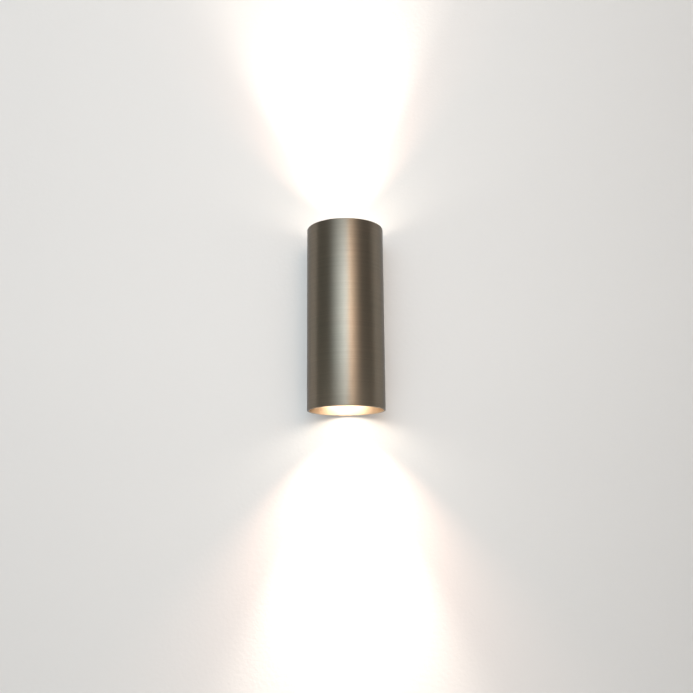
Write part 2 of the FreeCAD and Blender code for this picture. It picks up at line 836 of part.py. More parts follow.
def lampholder(name, sign, along):
    """A two-pin twist-lock holder: a ceramic body with a roomy chamber for each pin, a ceramic face
    with the two keyholes, an insulating cap under them, two spring contacts, and two long screws into
    the bridge's deck. It is drawn standing up, with its foot on Z = 0."""
    at = ("0", f"-{AXIS_TO_WALL}", f"{sign}{DECK}")
    seam, through = "(holder_height - socket_lip)", "2 * holder_height"
    block = body(f"{name}_ceramic")
    puck = circle(sketch(block, "XY", "cap_thickness"), "0", "0", "holder_diameter / 2")
    pad(block, puck, f"{seam} - cap_thickness")
    face = body(f"{name}_face")
    pad(face, circle(sketch(face, "XY", seam), "0", "0", "holder_diameter / 2"), "socket_lip")
    near = "(pin_spacing / 2 * cos(twist_angle) - pin_head / 2 - pin_slot_gap)"
    far = "(pin_spacing / 2 + pin_head / 2 + pin_chamber_gap)"
    rest = "(pin_head / 2 + pin_chamber_gap)"
    turned = f"(pin_spacing / 2 * sin(twist_angle) + {rest})"
    chambers = sketch(block, "XY")
    rectangle(chambers, near, far, f"-{rest}", turned)
    rectangle(chambers, f"-{far}", f"-{near}", f"-{turned}", rest)
    pocket(block, chambers, through, backwards=True)
    for half in ("", "-"):
        keyway = pin_track(sketch(face, "XY"), "pin_neck + 2 * pin_slot_gap", half)
        pocket(face, keyway, through, backwards=True)
        entry = circle(
            sketch(face, "XY"),
            f"{half}pin_spacing / 2 * cos(twist_angle)",
            f"{half}pin_spacing / 2 * sin(twist_angle)",
            "pin_head / 2 + pin_slot_gap",
        )
        pocket(face, entry, through, backwards=True)
    spots = [f"{half}holder_screw_spread / 2" for half in ("", "-")]
    shank_hole = "(holder_screw_thread + holder_screw_slack) / 2"
    for piece in (block, face):
        shanks = sketch(piece, "XY")
        for spot in spots:
            circle(shanks, "0", spot, shank_hole)
        pocket(piece, shanks, through, backwards=True)
    heads = sketch(face, "XY", "holder_height")
    for spot in spots:
        circle(heads, "0", spot, "holder_screw_head / 2 + holder_screw_slack")
    pocket(face, heads, "holder_screw_sink")
    keep(place(block, at, along), f"{name}_holder_body")
    keep(place(face, at, along), f"{name}_holder_face")

    cap = body(f"{name}_cap")
    disc = circle(sketch(cap, "XY"), "0", "0", "holder_diameter / 2 - cap_inset")
    for half, spot in zip(("", "-"), spots):
        circle(disc, f"{half}pin_spacing / 2", "0", "wire_diameter / 2 + wire_hole_gap")
        circle(disc, "0", spot, shank_hole)
    pad(cap, disc, "cap_thickness")
    keep(place(cap, at, along), f"{name}_holder_cap")

    contacts = []
    inner = "(pin_spacing / 2 - pin_head / 2 + contact_wall_gap)"
    outer = "(pin_spacing / 2 + pin_head / 2 + pin_chamber_gap - contact_wall_gap)"
    reach = "(holder_height + lamp_seat_gap - pin_length - contact_gap)"
    thick = "contact_thickness"
    for half in ("", "-"):
        leaf = body(f"{name}_contact")
        bent = outline(
            sketch(leaf, "XZ"),
            [
                (f"{half}{inner}", "cap_thickness"),
                (f"{half}{outer}", "cap_thickness"),
                (f"{half}{outer}", reach),
                (f"{half}{inner}", reach),
                (f"{half}{inner}", f"{reach} - {thick}"),
                (f"{half}({outer} - {thick})", f"{reach} - {thick}"),
                (f"{half}({outer} - {thick})", f"cap_thickness + {thick}"),
                (f"{half}{inner}", f"cap_thickness + {thick}"),
            ],
        )
        pad(leaf, bent, "contact_width", symmetric=True)
        contacts.append(place(leaf, at, along))
    keep(group(f"{name}_contact_pair", contacts), f"{name}_holder_contacts")

    screws = []
    for half in ("", "-"):
        depth = f"{half}holder_screw_spread / 2 - {AXIS_TO_WALL}"
        height = f"{sign}({DECK} + holder_height - holder_screw_sink)"
        screws.append(
            screw(
                f"{name}_holder_screw",
                "holder_screw_thread",
                HOLDER_SCREW_REACH,
                "holder_screw_head",
                "holder_screw_head_height",
                ("0", depth, height),
                along,
            )
        )
    keep(group(f"{name}_holder_screw_pair", screws), f"{name}_holder_screws")


# ---- Lamps ------------------------------------------------------------------------------------


def lamp(name, sign, along):
    """A 50 mm reflector lamp: a plastic foot with two headed pins, a finned metal cup, the LED on
    its board and a conical lens. It is drawn standing up, with its foot on Z = 0."""
    at = ("0", f"-{AXIS_TO_WALL}", f"{sign}{LAMP_SEAT}")
    foot_radius = "lamp_base_diameter / 2"

    foot = body(f"{name}_foot")
    pad(foot, circle(sketch(foot, "XY"), "0", "0", foot_radius), "lamp_base_height")
    keep(place(foot, at, along), f"{name}_lamp_base")

    pins = []
    for half in ("", "-"):
        pin = body(f"{name}_pin")
        neck, head = "pin_neck / 2", "pin_head / 2"
        revolve(
            pin,
            outline(
                sketch(pin, "XZ"),
                [
                    ("0", "-pin_length"),
                    (head, "-pin_length"),
                    (head, "-pin_length + pin_head_length"),
                    (neck, "-pin_length + pin_head_length"),
                    (neck, "0"),
                    ("0", "0"),
                ],
            ),
        )
        pins.append(place(pin, (f"{half}pin_spacing / 2", at[1], at[2]), along))
    keep(group(f"{name}_pin_pair", pins), f"{name}_lamp_pins")

    cup = body(f"{name}_cup")
    waist, rim = f"({foot_radius} + lamp_shoulder)", "(lamp_diameter / 2)"
    rim_start = "(lamp_length - lamp_rim)"
    mouth = f"({rim} - lamp_mouth_wall)"
    seat = "(lamp_length - lamp_mouth_depth)"
    revolve(
        cup,
        outline(
            sketch(cup, "XZ"),
            [
                ("0", "lamp_base_height"),
                (waist, "lamp_base_height"),
                (rim, rim_start),
                (rim, "lamp_length"),
                (mouth, "lamp_length"),
                (mouth, seat),
                ("led_board_diameter / 2 + optic_gap", "lamp_floor"),
                ("0", "lamp_floor"),
            ],
        ),
    )
    slope = f"({rim} - {waist}) / ({rim_start} - lamp_base_height)"
    groove = outline(
        sketch(cup, "XZ"),
        [
            (f"{waist} + {slope} * lamp_fin_margin - lamp_fin_depth", "lamp_base_height + lamp_fin_margin"),
            ("lamp_diameter", "lamp_base_height + lamp_fin_margin"),
            ("lamp_diameter", f"{rim_start} - lamp_fin_margin"),
            (f"{rim} - {slope} * lamp_fin_margin - lamp_fin_depth", f"{rim_start} - lamp_fin_margin"),
        ],
    )
    one = pocket(cup, groove, "lamp_fin_gap", symmetric=True)
    turned = cup.newObject("PartDesign::PolarPattern", f"{name}_fins")
    turned.Originals = [one]
    turned.Axis = (next(f for f in cup.Origin.OriginFeatures if f.Role == "Z_Axis"), [""])
    turned.Angle = 360
    bind(turned, Occurrences="lamp_fin_count")
    cup.Tip = turned
    keep(place(cup, at, along), f"{name}_lamp_housing")

    lens = body(f"{name}_lens")
    back = "(lamp_floor + led_board_thickness + led_height + optic_back_gap)"
    face = "(lamp_length - optic_sink)"
    disc = f"({mouth} - optic_gap)"
    revolve(
        lens,
        outline(
            sketch(lens, "XZ"),
            [
                ("0", back),
                ("optic_back_diameter / 2", back),
                (disc, seat),
                (disc, face),
                ("0", face),
            ],
        ),
    )
    keep(place(lens, at, along), f"{name}_lamp_optic")

    led = body(f"{name}_led")
    revolve(
        led,
        outline(
            sketch(led, "XZ"),
            [
                ("0", "lamp_floor"),
                ("led_board_diameter / 2", "lamp_floor"),
                ("led_board_diameter / 2", "lamp_floor + led_board_thickness"),
                ("led_diameter / 2", "lamp_floor + led_board_thickness"),
                ("led_diameter / 2", "lamp_floor + led_board_thickness + led_height"),
                ("0", "lamp_floor + led_board_thickness + led_height"),
            ],
        ),
    )
    keep(place(led, at, along), f"{name}_lamp_led_board")


# ---- Terminal block and earth -------------------------------------------------------------------


def pole_offsets():
    """Where each pole of the terminal block is, from its middle."""
    count = int(number("pole_count"))
    return [f"({i} - (pole_count - 1) / 2) * pole_pitch" for i in range(count)]


def terminal_block():
    """A pluggable-wire strip with one way per pole, screwed to the back of the spine."""
    made = body("block")
    low, high = "(block_rise - block_height / 2)", "(block_rise + block_height / 2)"
    side = f"({BLOCK_WIDTH} / 2)"
    slab = rectangle(sketch(made, "XZ", "-spine_back"), f"-{side}", side, low, high)
    pad(made, slab, "block_depth", backwards=True)
    rear = number("spine_back + block_depth")
    soften(made, "Chamfer", "block_chamfer", lambda edge, at: close(at.y, rear))
    for x in pole_offsets()[1:]:
        middle = f"({x} - pole_pitch / 2)"
        grooves = sketch(made, "XZ", "-spine_back - block_depth")
        left, right = f"{middle} - block_groove / 2", f"{middle} + block_groove / 2"
        rectangle(grooves, left, right, f"{low} - 1", f"{low} + block_groove")
        rectangle(grooves, left, right, f"{high} - block_groove", f"{high} + 1")
        pocket(made, grooves, "block_depth", backwards=True)
    for x in pole_offsets():
        way = rectangle(
            sketch(made, "XY", high),
            f"{x} - entry_width / 2",
            f"{x} + entry_width / 2",
            f"{ENTRY} - entry_depth / 2",
            f"{ENTRY} + entry_depth / 2",
        )
        pocket(made, way, "block_height")
        taps = sketch(made, "XZ", "-spine_back - block_depth")
        for sign in ("+", "-"):
            height = f"block_rise {sign} clamp_screw_spread / 2"
            circle(taps, x, height, "clamp_screw_thread / 2 + thread_gap")
        pocket(made, taps, "block_depth - entry_back", backwards=True)
    fixing = sketch(made, "XZ", "-spine_back - block_depth")
    sinks = sketch(made, "XZ", "-spine_back - block_depth")
    for x in ("-pole_pitch / 2", "pole_pitch / 2"):
        circle(fixing, x, "block_rise", "block_screw_thread / 2 + thread_gap")
        circle(sinks, x, "block_rise", "block_screw_head / 2 + block_screw_slack")
    pocket(made, fixing, "block_depth", backwards=True)
    pocket(made, sinks, "block_screw_sink", backwards=True)
    keep(on_axis(made), "terminal_block")

    clamps, clamp_screws = [], []
    clamp_top = "(entry_depth / 2 - clamp_gap)"
    for x in pole_offsets():
        clamp = body("clamp")
        bar = rectangle(
            sketch(clamp, "XY", "block_rise - clamp_length / 2"),
            f"{x} - entry_width / 2 + clamp_gap",
            f"{x} + entry_width / 2 - clamp_gap",
            f"{ENTRY} - {clamp_top}",
            f"{ENTRY} + {clamp_top}",
        )
        pad(clamp, bar, "clamp_length")
        clamps.append(on_axis(clamp))
        for sign in ("+", "-"):
            seat = f"{ENTRY} + {clamp_top}"
            length = f"(spine_back + block_depth - clamp_screw_sink - ({seat}))"
            one = body("clamp_screw")
            revolve(
                one,
                outline(
                    sketch(one, "XZ"),
                    [
                        ("0", f"-{length}"),
                        ("clamp_screw_thread / 2", f"-{length}"),
                        ("clamp_screw_thread / 2", "0"),
                        ("0", "0"),
                    ],
                ),
            )
            slot = rectangle(
                sketch(one, "XY"),
                "-clamp_screw_thread",
                "clamp_screw_thread",
                "-screw_slot_width / 2",
                "screw_slot_width / 2",
            )
            pocket(one, slot, f"0.5 * {length}")
            depth = f"spine_back + block_depth - clamp_screw_sink - {AXIS_TO_WALL}"
            height = f"block_rise {sign} clamp_screw_spread / 2"
            clamp_screws.append(place(one, (x, depth, height), "Y"))
    keep(group("clamp_set", clamps), "terminal_clamps")
    keep(group("clamp_screw_set", clamp_screws), "terminal_screws")

    fixings = [
        screw(
            "block_screw",
            "block_screw_thread",
            "block_depth - block_screw_sink + 2 * sheet_thickness",
            "block_screw_head",
            "block_screw_head_height",
            (x, f"spine_back + block_depth - block_screw_sink - {AXIS_TO_WALL}", "block_rise"),
            "Y",
        )
        for x in ("-pole_pitch / 2", "pole_pitch / 2")
    ]
    keep(group("block_screw_pair", fixings), "terminal_block_screws")


def earth_point():
    """The ring terminal of the earth wire and the screw that holds it to the spine."""
    ring = body("earth_ring_body")
    tongue = circle(sketch(ring, "XZ", "-spine_back"), "0", "-earth_drop", "earth_ring_diameter / 2")
    circle(tongue, "0", "-earth_drop", "earth_screw_thread / 2 + wire_hole_gap")
    pad(ring, tongue, "earth_ring_thickness", backwards=True)
    neck = rectangle(
        sketch(ring, "XZ", "-spine_back"),
        "-earth_barrel_diameter / 2",
        "earth_barrel_diameter / 2",
        "-earth_drop + 0.35 * earth_ring_diameter",
        "-earth_drop + earth_barrel_start + 0.5 * earth_barrel_length",
    )
    pad(ring, neck, "earth_ring_thickness", backwards=True)
    barrel = circle(
        sketch(ring, "XY", "-earth_drop + earth_barrel_start"),
        "0",
        "spine_back + earth_barrel_diameter / 2",
        "earth_barrel_diameter / 2",
    )
    pad(ring, barrel, "earth_barrel_length")
    keep(on_axis(ring), "earth_ring")
    fixed = screw(
        "earth_screw_body",
        "earth_screw_thread",
        "earth_ring_thickness + 2 * sheet_thickness",
        "earth_screw_head",
        "earth_screw_head_height",
        ("0", f"spine_back + earth_ring_thickness - {AXIS_TO_WALL}", "-earth_drop"),
        "Y",
    )
    keep(fixed, "earth_screw")


# ---- Wires --------------------------------------------------------------------------------------

# The share of a straight run that a bend may use, and how many flat sides stand for a round wire.
BEND_SHARE = 0.45
WIRE_SIDES = 8


def wire_path(corners):
    """Straight runs joined by tangent arcs, each as large as its two runs allow."""
    edges, radii = [], []
    start = corners[0]
    for before, corner, after in zip(corners, corners[1:], corners[2:]):
        back, ahead = before - corner, after - corner
        turn = math.pi - back.getAngle(ahead)
        trim = BEND_SHARE * min(back.Length, ahead.Length)
        radii.append(trim / math.tan(turn / 2))
        back.normalize()
        ahead.normalize()
        enter, leave = corner + back * trim, corner + ahead * trim
        middle = back + ahead
        middle.normalize()
        centre = corner + middle * (radii[-1] / math.cos(turn / 2))
        edges.append(Part.LineSegment(start, enter).toShape())
        edges.append(Part.Arc(enter, centre - middle * radii[-1], leave).toShape())
        start = leave
    edges.append(Part.LineSegment(start, corners[-1]).toShape())
    return Part.Wire(edges), min(radii)


def wire(label, points):
    """An insulated wire through the given points, each three formulas from the tube's centre line."""
    corners = [Vector(number(x), number(y), number(z)) for x, y, z in points]
    path, tightest = wire_path(corners)
    radius, step = number("wire_diameter / 2"), 2 * math.pi / WIRE_SIDES
    turn = Rotation(Vector(0, 0, 1), corners[1] - corners[0])
    ring = [Vector(radius * math.cos(i * step), radius * math.sin(i * step), 0) for i in range(WIRE_SIDES)]
    ring = [corners[0] + turn.multVec(point) for point in ring]
    solid = path.makePipeShell([Part.makePolygon(ring + ring[:1])], True, False)
    wanted = WIRE_SIDES / 2 * math.sin(step) * radius**2 * path.Length
    if abs(solid.Volume - wanted) > 0.01 * wanted:
        raise RuntimeError(f"{label} has the volume {solid.Volume:.1f} and not {wanted:.1f}")
    made = doc.addObject("Part::Feature", label)
    made.Shape = solid
    made.Placement = Placement(Vector(0, -number(AXIS_TO_WALL), 0), Rotation())
    print(f"{label}: {path.Length:.0f} mm long, tightest bend {tightest:.1f} mm")
    return keep(made, label)


def wires():
    """A live and a neutral wire from each holder to the block, and the earth wire."""
    foot = f"({DECK} + cap_thickness)"
    clamp_end = "(block_rise - clamp_length / 2)"
    lane = "wire_lane"
    for kind, sign in (("live", "-"), ("neutral", "")):
        x, pole = f"{sign}pin_spacing / 2", f"{sign}pole_pitch"
        near, far = f"({ENTRY} - wire_pair_spacing / 2)", f"({ENTRY} + wire_pair_spacing / 2)"
        wire(
            f"upper_{kind}_wire",
            [
                (x, "0", foot),
                (x, "0", lane),
                (x, "spine_back + 2.5 * wire_bush_flange", lane),
                (pole, near, f"{lane} + 2.5 * wire_diameter"),
                (pole, near, clamp_end),
            ],
        )
        wire(
            f"lower_{kind}_wire",
            [
                (x, "0", f"-{foot}"),
                (x, "0", f"-{lane}"),
                (x, "spine_back + 4.5 * wire_bush_flange", f"-{lane}"),
                (pole, far, f"{lane} + wire_diameter"),
                (pole, far, clamp_end),
            ],
        )
    barrel = "(spine_back + earth_barrel_diameter / 2)"
    barrel_end = "(earth_barrel_start + earth_barrel_length - earth_drop)"
    wire(
        "earth_wire",
        [
            ("0", ENTRY, clamp_end),
            ("0", ENTRY, f"{barrel_end} + 5 * wire_diameter"),
            ("0", barrel, f"{barrel_end} + 2 * wire_diameter"),
            ("0", barrel, barrel_end),
        ],
    )


# ---- Build and write ------------------------------------------------------------------------------


def check():
    """Stops if any object failed or any sub-part isn't a set of sound, closed solids."""
    doc.recompute()
    for thing in doc.Objects:
        if "Invalid" in thing.State or "Error" in thing.State:
            raise RuntimeError(f"{thing.Label} failed: {thing.State}")
    for part in parts:
        shape = part.Shape
        if shape.isNull() or not shape.isValid() or not shape.Solids:
            raise RuntimeError(f"{part.Label} has no sound solid")
        if any(solid.Volume <= 0 for solid in shape.Solids):
            raise RuntimeError(f"{part.Label} is inside out")


def main():
    wall_bracket()
    cable_bush()
    tube()
    set_screws()
    chassis_strip()
    tab_screws()
    holder_bridge()
    bridge_rivets()
    wire_bush()
    for name, sign, along in (("upper", "", "Z"), ("lower", "-", "-Z")):
        lampholder(name, sign, along)
        lamp(name, sign, along)
    terminal_block()
    earth_point()
    wires()
    check()
    os.makedirs("parts", exist_ok=True)
    for part in parts:
        part.Shape.exportStep(f"parts/{part.Label}.step")
    print(f"{len(parts)} sub-parts, {sum(len(part.Shape.Solids) for part in parts)} solids")


main()
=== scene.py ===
# %% [markdown]
# # An up-and-down tube wall light
# A brushed bronze tube stands against a pale wall. A reflector lamp in each end throws a pool of light
# up and down the wall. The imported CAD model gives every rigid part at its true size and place. This
# script dresses those parts: it gives each one a finish, swaps the plain ones for finer meshes, and
# sets the wall, the lights and the camera.

import math

import bmesh
import bpy
from mathutils import Matrix, Vector


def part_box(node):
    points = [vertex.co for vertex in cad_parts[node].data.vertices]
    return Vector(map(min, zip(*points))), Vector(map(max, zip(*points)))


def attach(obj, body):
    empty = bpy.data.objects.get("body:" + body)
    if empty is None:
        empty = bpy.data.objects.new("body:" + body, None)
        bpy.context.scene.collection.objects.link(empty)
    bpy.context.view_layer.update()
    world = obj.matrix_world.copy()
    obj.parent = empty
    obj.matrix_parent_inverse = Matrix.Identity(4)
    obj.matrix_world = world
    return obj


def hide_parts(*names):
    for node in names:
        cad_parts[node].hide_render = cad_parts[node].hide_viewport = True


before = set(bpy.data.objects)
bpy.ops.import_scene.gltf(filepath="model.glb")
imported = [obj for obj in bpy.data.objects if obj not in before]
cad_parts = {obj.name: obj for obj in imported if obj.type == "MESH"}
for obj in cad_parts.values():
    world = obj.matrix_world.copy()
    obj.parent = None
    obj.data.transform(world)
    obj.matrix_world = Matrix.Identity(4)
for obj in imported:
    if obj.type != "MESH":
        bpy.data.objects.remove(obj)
scene = bpy.context.scene
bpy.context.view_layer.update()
print(len(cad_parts), "CAD nodes")

# %% [markdown]
# ## Sizes
# Blender works in metres here, in the CAD's own frame: Z is up, the wall is the plane y = 0 and the room
# is on the minus Y side. The sizes that the new meshes need are read from the boxes of the CAD nodes, so
# a mesh always fits the part that it stands for.

# %% Sizes from the frame
MM = 0.001
tube_low, tube_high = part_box("tube")
TUBE_RADIUS = (tube_high.x - tube_low.x) / 2
TUBE_WALL = 2 * MM
TUBE_TOP = tube_high.z
AXIS_Y = (tube_low.y + tube_high.y) / 2
AXIS = Vector((0, AXIS_Y, 0))
print(f"tube: {2 * TUBE_RADIUS / MM:.1f} mm across and {2 * TUBE_TOP / MM:.1f} mm high")
print(f"its axis: {-AXIS_Y / MM:.1f} mm from the wall")

# %% [markdown]
# ## Nodes in few words
# A material in Blender is a small graph: each node takes values in, and puts colours or numbers out.
# Written out in full that is long, so small helpers do the work. One adds a node and joins its inputs,
# four more add the nodes used most, and another starts a node group, which is a graph with named inputs
# and outputs that several materials can share.

# %% Helpers for shader nodes
def add(tree, kind, inputs=None, **settings):
    """A node of a kind, with settings as given and inputs that are joined to a socket or set to a value."""
    node = tree.nodes.new(kind)
    for name, value in settings.items():
        setattr(node, name, value)
    for key, value in (inputs or {}).items():
        if isinstance(value, bpy.types.NodeSocket):
            tree.links.new(value, node.inputs[key])
        else:
            node.inputs[key].default_value = value
    return node


def maths(tree, operation, *values):
    """A Math node's result."""
    return add(tree, "ShaderNodeMath", dict(enumerate(values)), operation=operation).outputs[0]


def ramp(tree, value, low, high, start, stop):
    """A value moved from the range low to high into start to stop, and held there."""
    inputs = {"Value": value, "From Min": low, "From Max": high, "To Min": start, "To Max": stop}
    return add(tree, "ShaderNodeMapRange", inputs).outputs[0]


def blend_colours(tree, share, one, two):
    """A mix of two colours."""
    return add(tree, "ShaderNodeMix", {0: share, 6: one, 7: two}, data_type="RGBA").outputs[2]


def noise(tree, spot, scale, detail, roughness=0.5):
    """A noise texture's value, with its scale in waves per metre."""
    inputs = {"Vector": spot, "Scale": scale, "Detail": detail, "Roughness": roughness}
    return add(tree, "ShaderNodeTexNoise", inputs).outputs["Fac"]


def new_group(title, inputs, outputs):
    """A node group. Inputs are (name, kind, value) and outputs (name, kind)."""
    tree = bpy.data.node_groups.new(title, "ShaderNodeTree")
    for name, kind, value in inputs:
        socket = tree.interface.new_socket(name, in_out="INPUT", socket_type=f"NodeSocket{kind}")
        if value is not None:
            socket.default_value = value
    for name, kind in outputs:
        tree.interface.new_socket(name, in_out="OUTPUT", socket_type=f"NodeSocket{kind}")
    enter, leave = tree.nodes.new("NodeGroupInput"), tree.nodes.new("NodeGroupOutput")
    return tree, enter.outputs, leave.inputs


def use(tree, group, inputs=None):
    """The outputs of a node group placed in a tree."""
    return add(tree, "ShaderNodeGroup", inputs, node_tree=group).outputs


# %% [markdown]
# ## Effects that several finishes share
# The object's own coordinates don't change when a lamp turns or the tube comes off the wall, so every
# pattern is worked out from them and stays on its part. Five effects come back:
#
# - lines that a brush leaves round the tube's axis,
# - fine grain, for moulded plastic, ceramic and zinc,
# - soft edges, because no real edge is perfectly sharp, and wear catches on them,
# - dust that settles on what faces up,
# - an uneven tone that drifts slowly over a part.

# %% Distance from the tube's axis
tree, _, out = new_group("Round the axis", [], [("Radius", "Float"), ("Spot", "Vector")])
spot = add(tree, "ShaderNodeTexCoord").outputs["Object"]
centred = add(tree, "ShaderNodeVectorMath", {0: spot, 1: AXIS}, operation="SUBTRACT").outputs[0]
parts = add(tree, "ShaderNodeSeparateXYZ", {0: centred}).outputs
flat = add(tree, "ShaderNodeCombineXYZ", {"X": parts["X"], "Y": parts["Y"]}).outputs[0]
radius = add(tree, "ShaderNodeVectorMath", {0: flat}, operation="LENGTH").outputs["Value"]
tree.links.new(radius, out["Radius"])
tree.links.new(centred, out["Spot"])
round_the_axis = tree
print("group:", tree.name)

# %% Brush lines round the axis
tree, given, out = new_group(
    "Brush lines",
    [("Along", "Float", 40.0), ("Across", "Float", 3000.0), ("Depth", "Float", 0.00001)],
    [("Mask", "Float"), ("Normal", "Vector")],
)
spot = use(tree, round_the_axis)["Spot"]
along, across = given["Along"], given["Across"]
stretch = add(tree, "ShaderNodeCombineXYZ", {"X": along, "Y": along, "Z": across}).outputs[0]
squeezed = add(tree, "ShaderNodeVectorMath", {0: spot, 1: stretch}, operation="MULTIPLY").outputs[0]
mask = ramp(tree, noise(tree, squeezed, 1.0, 5.0, 0.65), 0.3, 0.7, 0.0, 1.0)
tree.links.new(mask, out["Mask"])
bump = add(tree, "ShaderNodeBump", {"Height": mask, "Distance": given["Depth"], "Strength": 1.0})
tree.links.new(bump.outputs["Normal"], out["Normal"])
brush_lines = tree
print("group:", tree.name)

# %% Fine grain
tree, given, out = new_group(
    "Fine grain",
    [("Scale", "Float", 2000.0), ("Depth", "Float", 0.00001), ("Normal", "Vector", None)],
    [("Mask", "Float"), ("Normal", "Vector")],
)
spot = add(tree, "ShaderNodeTexCoord").outputs["Object"]
mask = ramp(tree, noise(tree, spot, given["Scale"], 3.0), 0.3, 0.7, 0.0, 1.0)
tree.links.new(mask, out["Mask"])
bump = add(tree, "ShaderNodeBump", {"Height": mask, "Distance": given["Depth"], "Normal": given["Normal"]})
tree.links.new(bump.outputs["Normal"], out["Normal"])
fine_grain = tree
print("group:", tree.name)

# %% Soft edges
tree, given, out = new_group(
    "Soft edges", [("Size", "Float", 0.0004)], [("Edge", "Float"), ("Normal", "Vector")]
)
eased = add(tree, "ShaderNodeBevel", {"Radius": given["Size"]}, samples=4).outputs[0]
plain = add(tree, "ShaderNodeNewGeometry").outputs["Normal"]
match = add(tree, "ShaderNodeVectorMath", {0: eased, 1: plain}, operation="DOT_PRODUCT").outputs["Value"]
tree.links.new(ramp(tree, match, 0.7, 0.99, 1.0, 0.0), out["Edge"])
tree.links.new(eased, out["Normal"])
soft_edges = tree
print("group:", tree.name)

# %% Dust and uneven tone
tree, given, out = new_group("Dust", [("Amount", "Float", 0.3)], [("Mask", "Float")])
facing = add(tree, "ShaderNodeSeparateXYZ", {0: add(tree, "ShaderNodeNewGeometry").outputs["Normal"]})
spot = add(tree, "ShaderNodeTexCoord").outputs["Object"]
upward = ramp(tree, facing.outputs["Z"], 0.2, 1.0, 0.0, 1.0)
fall = ramp(tree, noise(tree, spot, 900.0, 6.0, 0.7), 0.35, 0.75, 0.0, 1.0)
tree.links.new(maths(tree, "MULTIPLY", maths(tree, "MULTIPLY", upward, fall), given["Amount"]), out["Mask"])
dust = tree

tree, given, out = new_group("Uneven tone", [("Scale", "Float", 60.0)], [("Mask", "Float")])
spot = add(tree, "ShaderNodeTexCoord").outputs["Object"]
clouds = noise(tree, spot, given["Scale"], 4.0, 0.55)
tree.links.new(ramp(tree, clouds, 0.32, 0.68, 0.0, 1.0), out["Mask"])
uneven_tone = tree
print("groups:", dust.name, "and", uneven_tone.name)

# %% [markdown]
# ## The tube's bronze
# The tube is brass, brushed round and then darkened with a brown patina under clear lacquer. Brushing
# round leaves fine rings, and a ring scatters light up and down but hardly sideways. That is why the
# photograph shows one narrow bright band down the whole tube. Blender calls such a surface anisotropic.
# Its tangent says which way the light is drawn out. A radial tangent runs round the tube, and a rotation
# of a quarter turn sets it along the axis.
#
# The inside was never darkened, so it stays golden, and the cut rims are bare metal. The distance from
# the axis tells these three apart, so one material does for the whole tube.

# %% Bronze
def rgb(red, green, blue):
    """A colour with full opacity."""
    return (red, green, blue, 1.0)


def new_material(name):
    """A material with a Principled shader, and its tree."""
    material = bpy.data.materials.new(name)
    material.use_nodes = True
    return material, material.node_tree, material.node_tree.nodes["Principled BSDF"].inputs


def feed(tree, shader, **sockets):
    """Joins or sets the shader's inputs. An underscore in a name stands for a space."""
    for name, value in sockets.items():
        key = name.replace("_", " ")
        if isinstance(value, bpy.types.NodeSocket):
            tree.links.new(value, shader[key])
        else:
            shader[key].default_value = value


bronze, tree, shader = new_material("Dark bronze")
place = use(tree, round_the_axis)
fine = use(tree, brush_lines, {"Along": 25.0, "Across": 3200.0, "Depth": 0.000012})
coarse = use(tree, brush_lines, {"Along": 9.0, "Across": 620.0, "Depth": 0.0})
clouds = use(tree, uneven_tone, {"Scale": 38.0})["Mask"]
edge = use(tree, soft_edges, {"Size": 0.5 * MM})["Edge"]

streaks = maths(tree, "MULTIPLY_ADD", coarse["Mask"], 0.5, maths(tree, "MULTIPLY", fine["Mask"], 0.5))
patina = blend_colours(tree, clouds, rgb(0.212, 0.173, 0.130), rgb(0.190, 0.168, 0.128))
bare = blend_colours(tree, streaks, rgb(0.262, 0.216, 0.163), rgb(0.168, 0.140, 0.106))
outside = blend_colours(tree, 0.45, patina, bare)
outside = blend_colours(tree, maths(tree, "MULTIPLY", edge, 0.5), outside, rgb(0.46, 0.38, 0.29))
golden = blend_colours(tree, streaks, rgb(0.84, 0.66, 0.47), rgb(0.72, 0.54, 0.37))
inner_radius = TUBE_RADIUS - TUBE_WALL
within = ramp(tree, place["Radius"], inner_radius + 0.2 * MM, inner_radius + 0.5 * MM, 1.0, 0.0)
feed(
    tree,
    shader,
    Base_Color=blend_colours(tree, within, outside, golden),
    Metallic=1.0,
    Roughness=maths(tree, "MULTIPLY_ADD", streaks, 0.06, 0.31),
    Anisotropic=0.5,
    Normal=fine["Normal"],
    Specular_Tint=rgb(0.42, 0.43, 0.45),
    Coat_Weight=0.32,
    Coat_Roughness=0.26,
)
tangent = add(tree, "ShaderNodeTangent", direction_type="RADIAL", axis="Z").outputs[0]
feed(tree, shader, Tangent=tangent, Anisotropic_Rotation=0.25)
print("material:", bronze.name)

# %% [markdown]
# ## Turned parts
# Most parts of this light are turned: screws, pins, rivets, the lamps and the tube itself. Each is a
# profile spun round an axis. The profile is a list of corners in millimetres, and a corner may ask to be
# rounded, which a short arc of points then does. The spun rings are joined face by face in bmesh,
# Blender's own mesh code. A matrix then takes the part's own millimetres to its place in the scene.

# %% Where a part stands
UPRIGHT = Matrix.Identity(4)
UPSIDE_DOWN = Matrix.Rotation(math.radians(180), 4, "Y")
TO_ROOM = Matrix.Rotation(math.radians(90), 4, "X")
TO_WALL = Matrix.Rotation(math.radians(-90), 4, "X")
TO_RIGHT = Matrix.Rotation(math.radians(90), 4, "Y")
TO_LEFT = Matrix.Rotation(math.radians(-90), 4, "Y")


def put(x, y, z, turn=UPRIGHT):
    """Takes a part's own millimetres to a place given in millimetres, its Z axis turned as asked."""
    return Matrix.Translation(Vector((x, y, z)) * MM) @ turn @ Matrix.Scale(MM, 4)


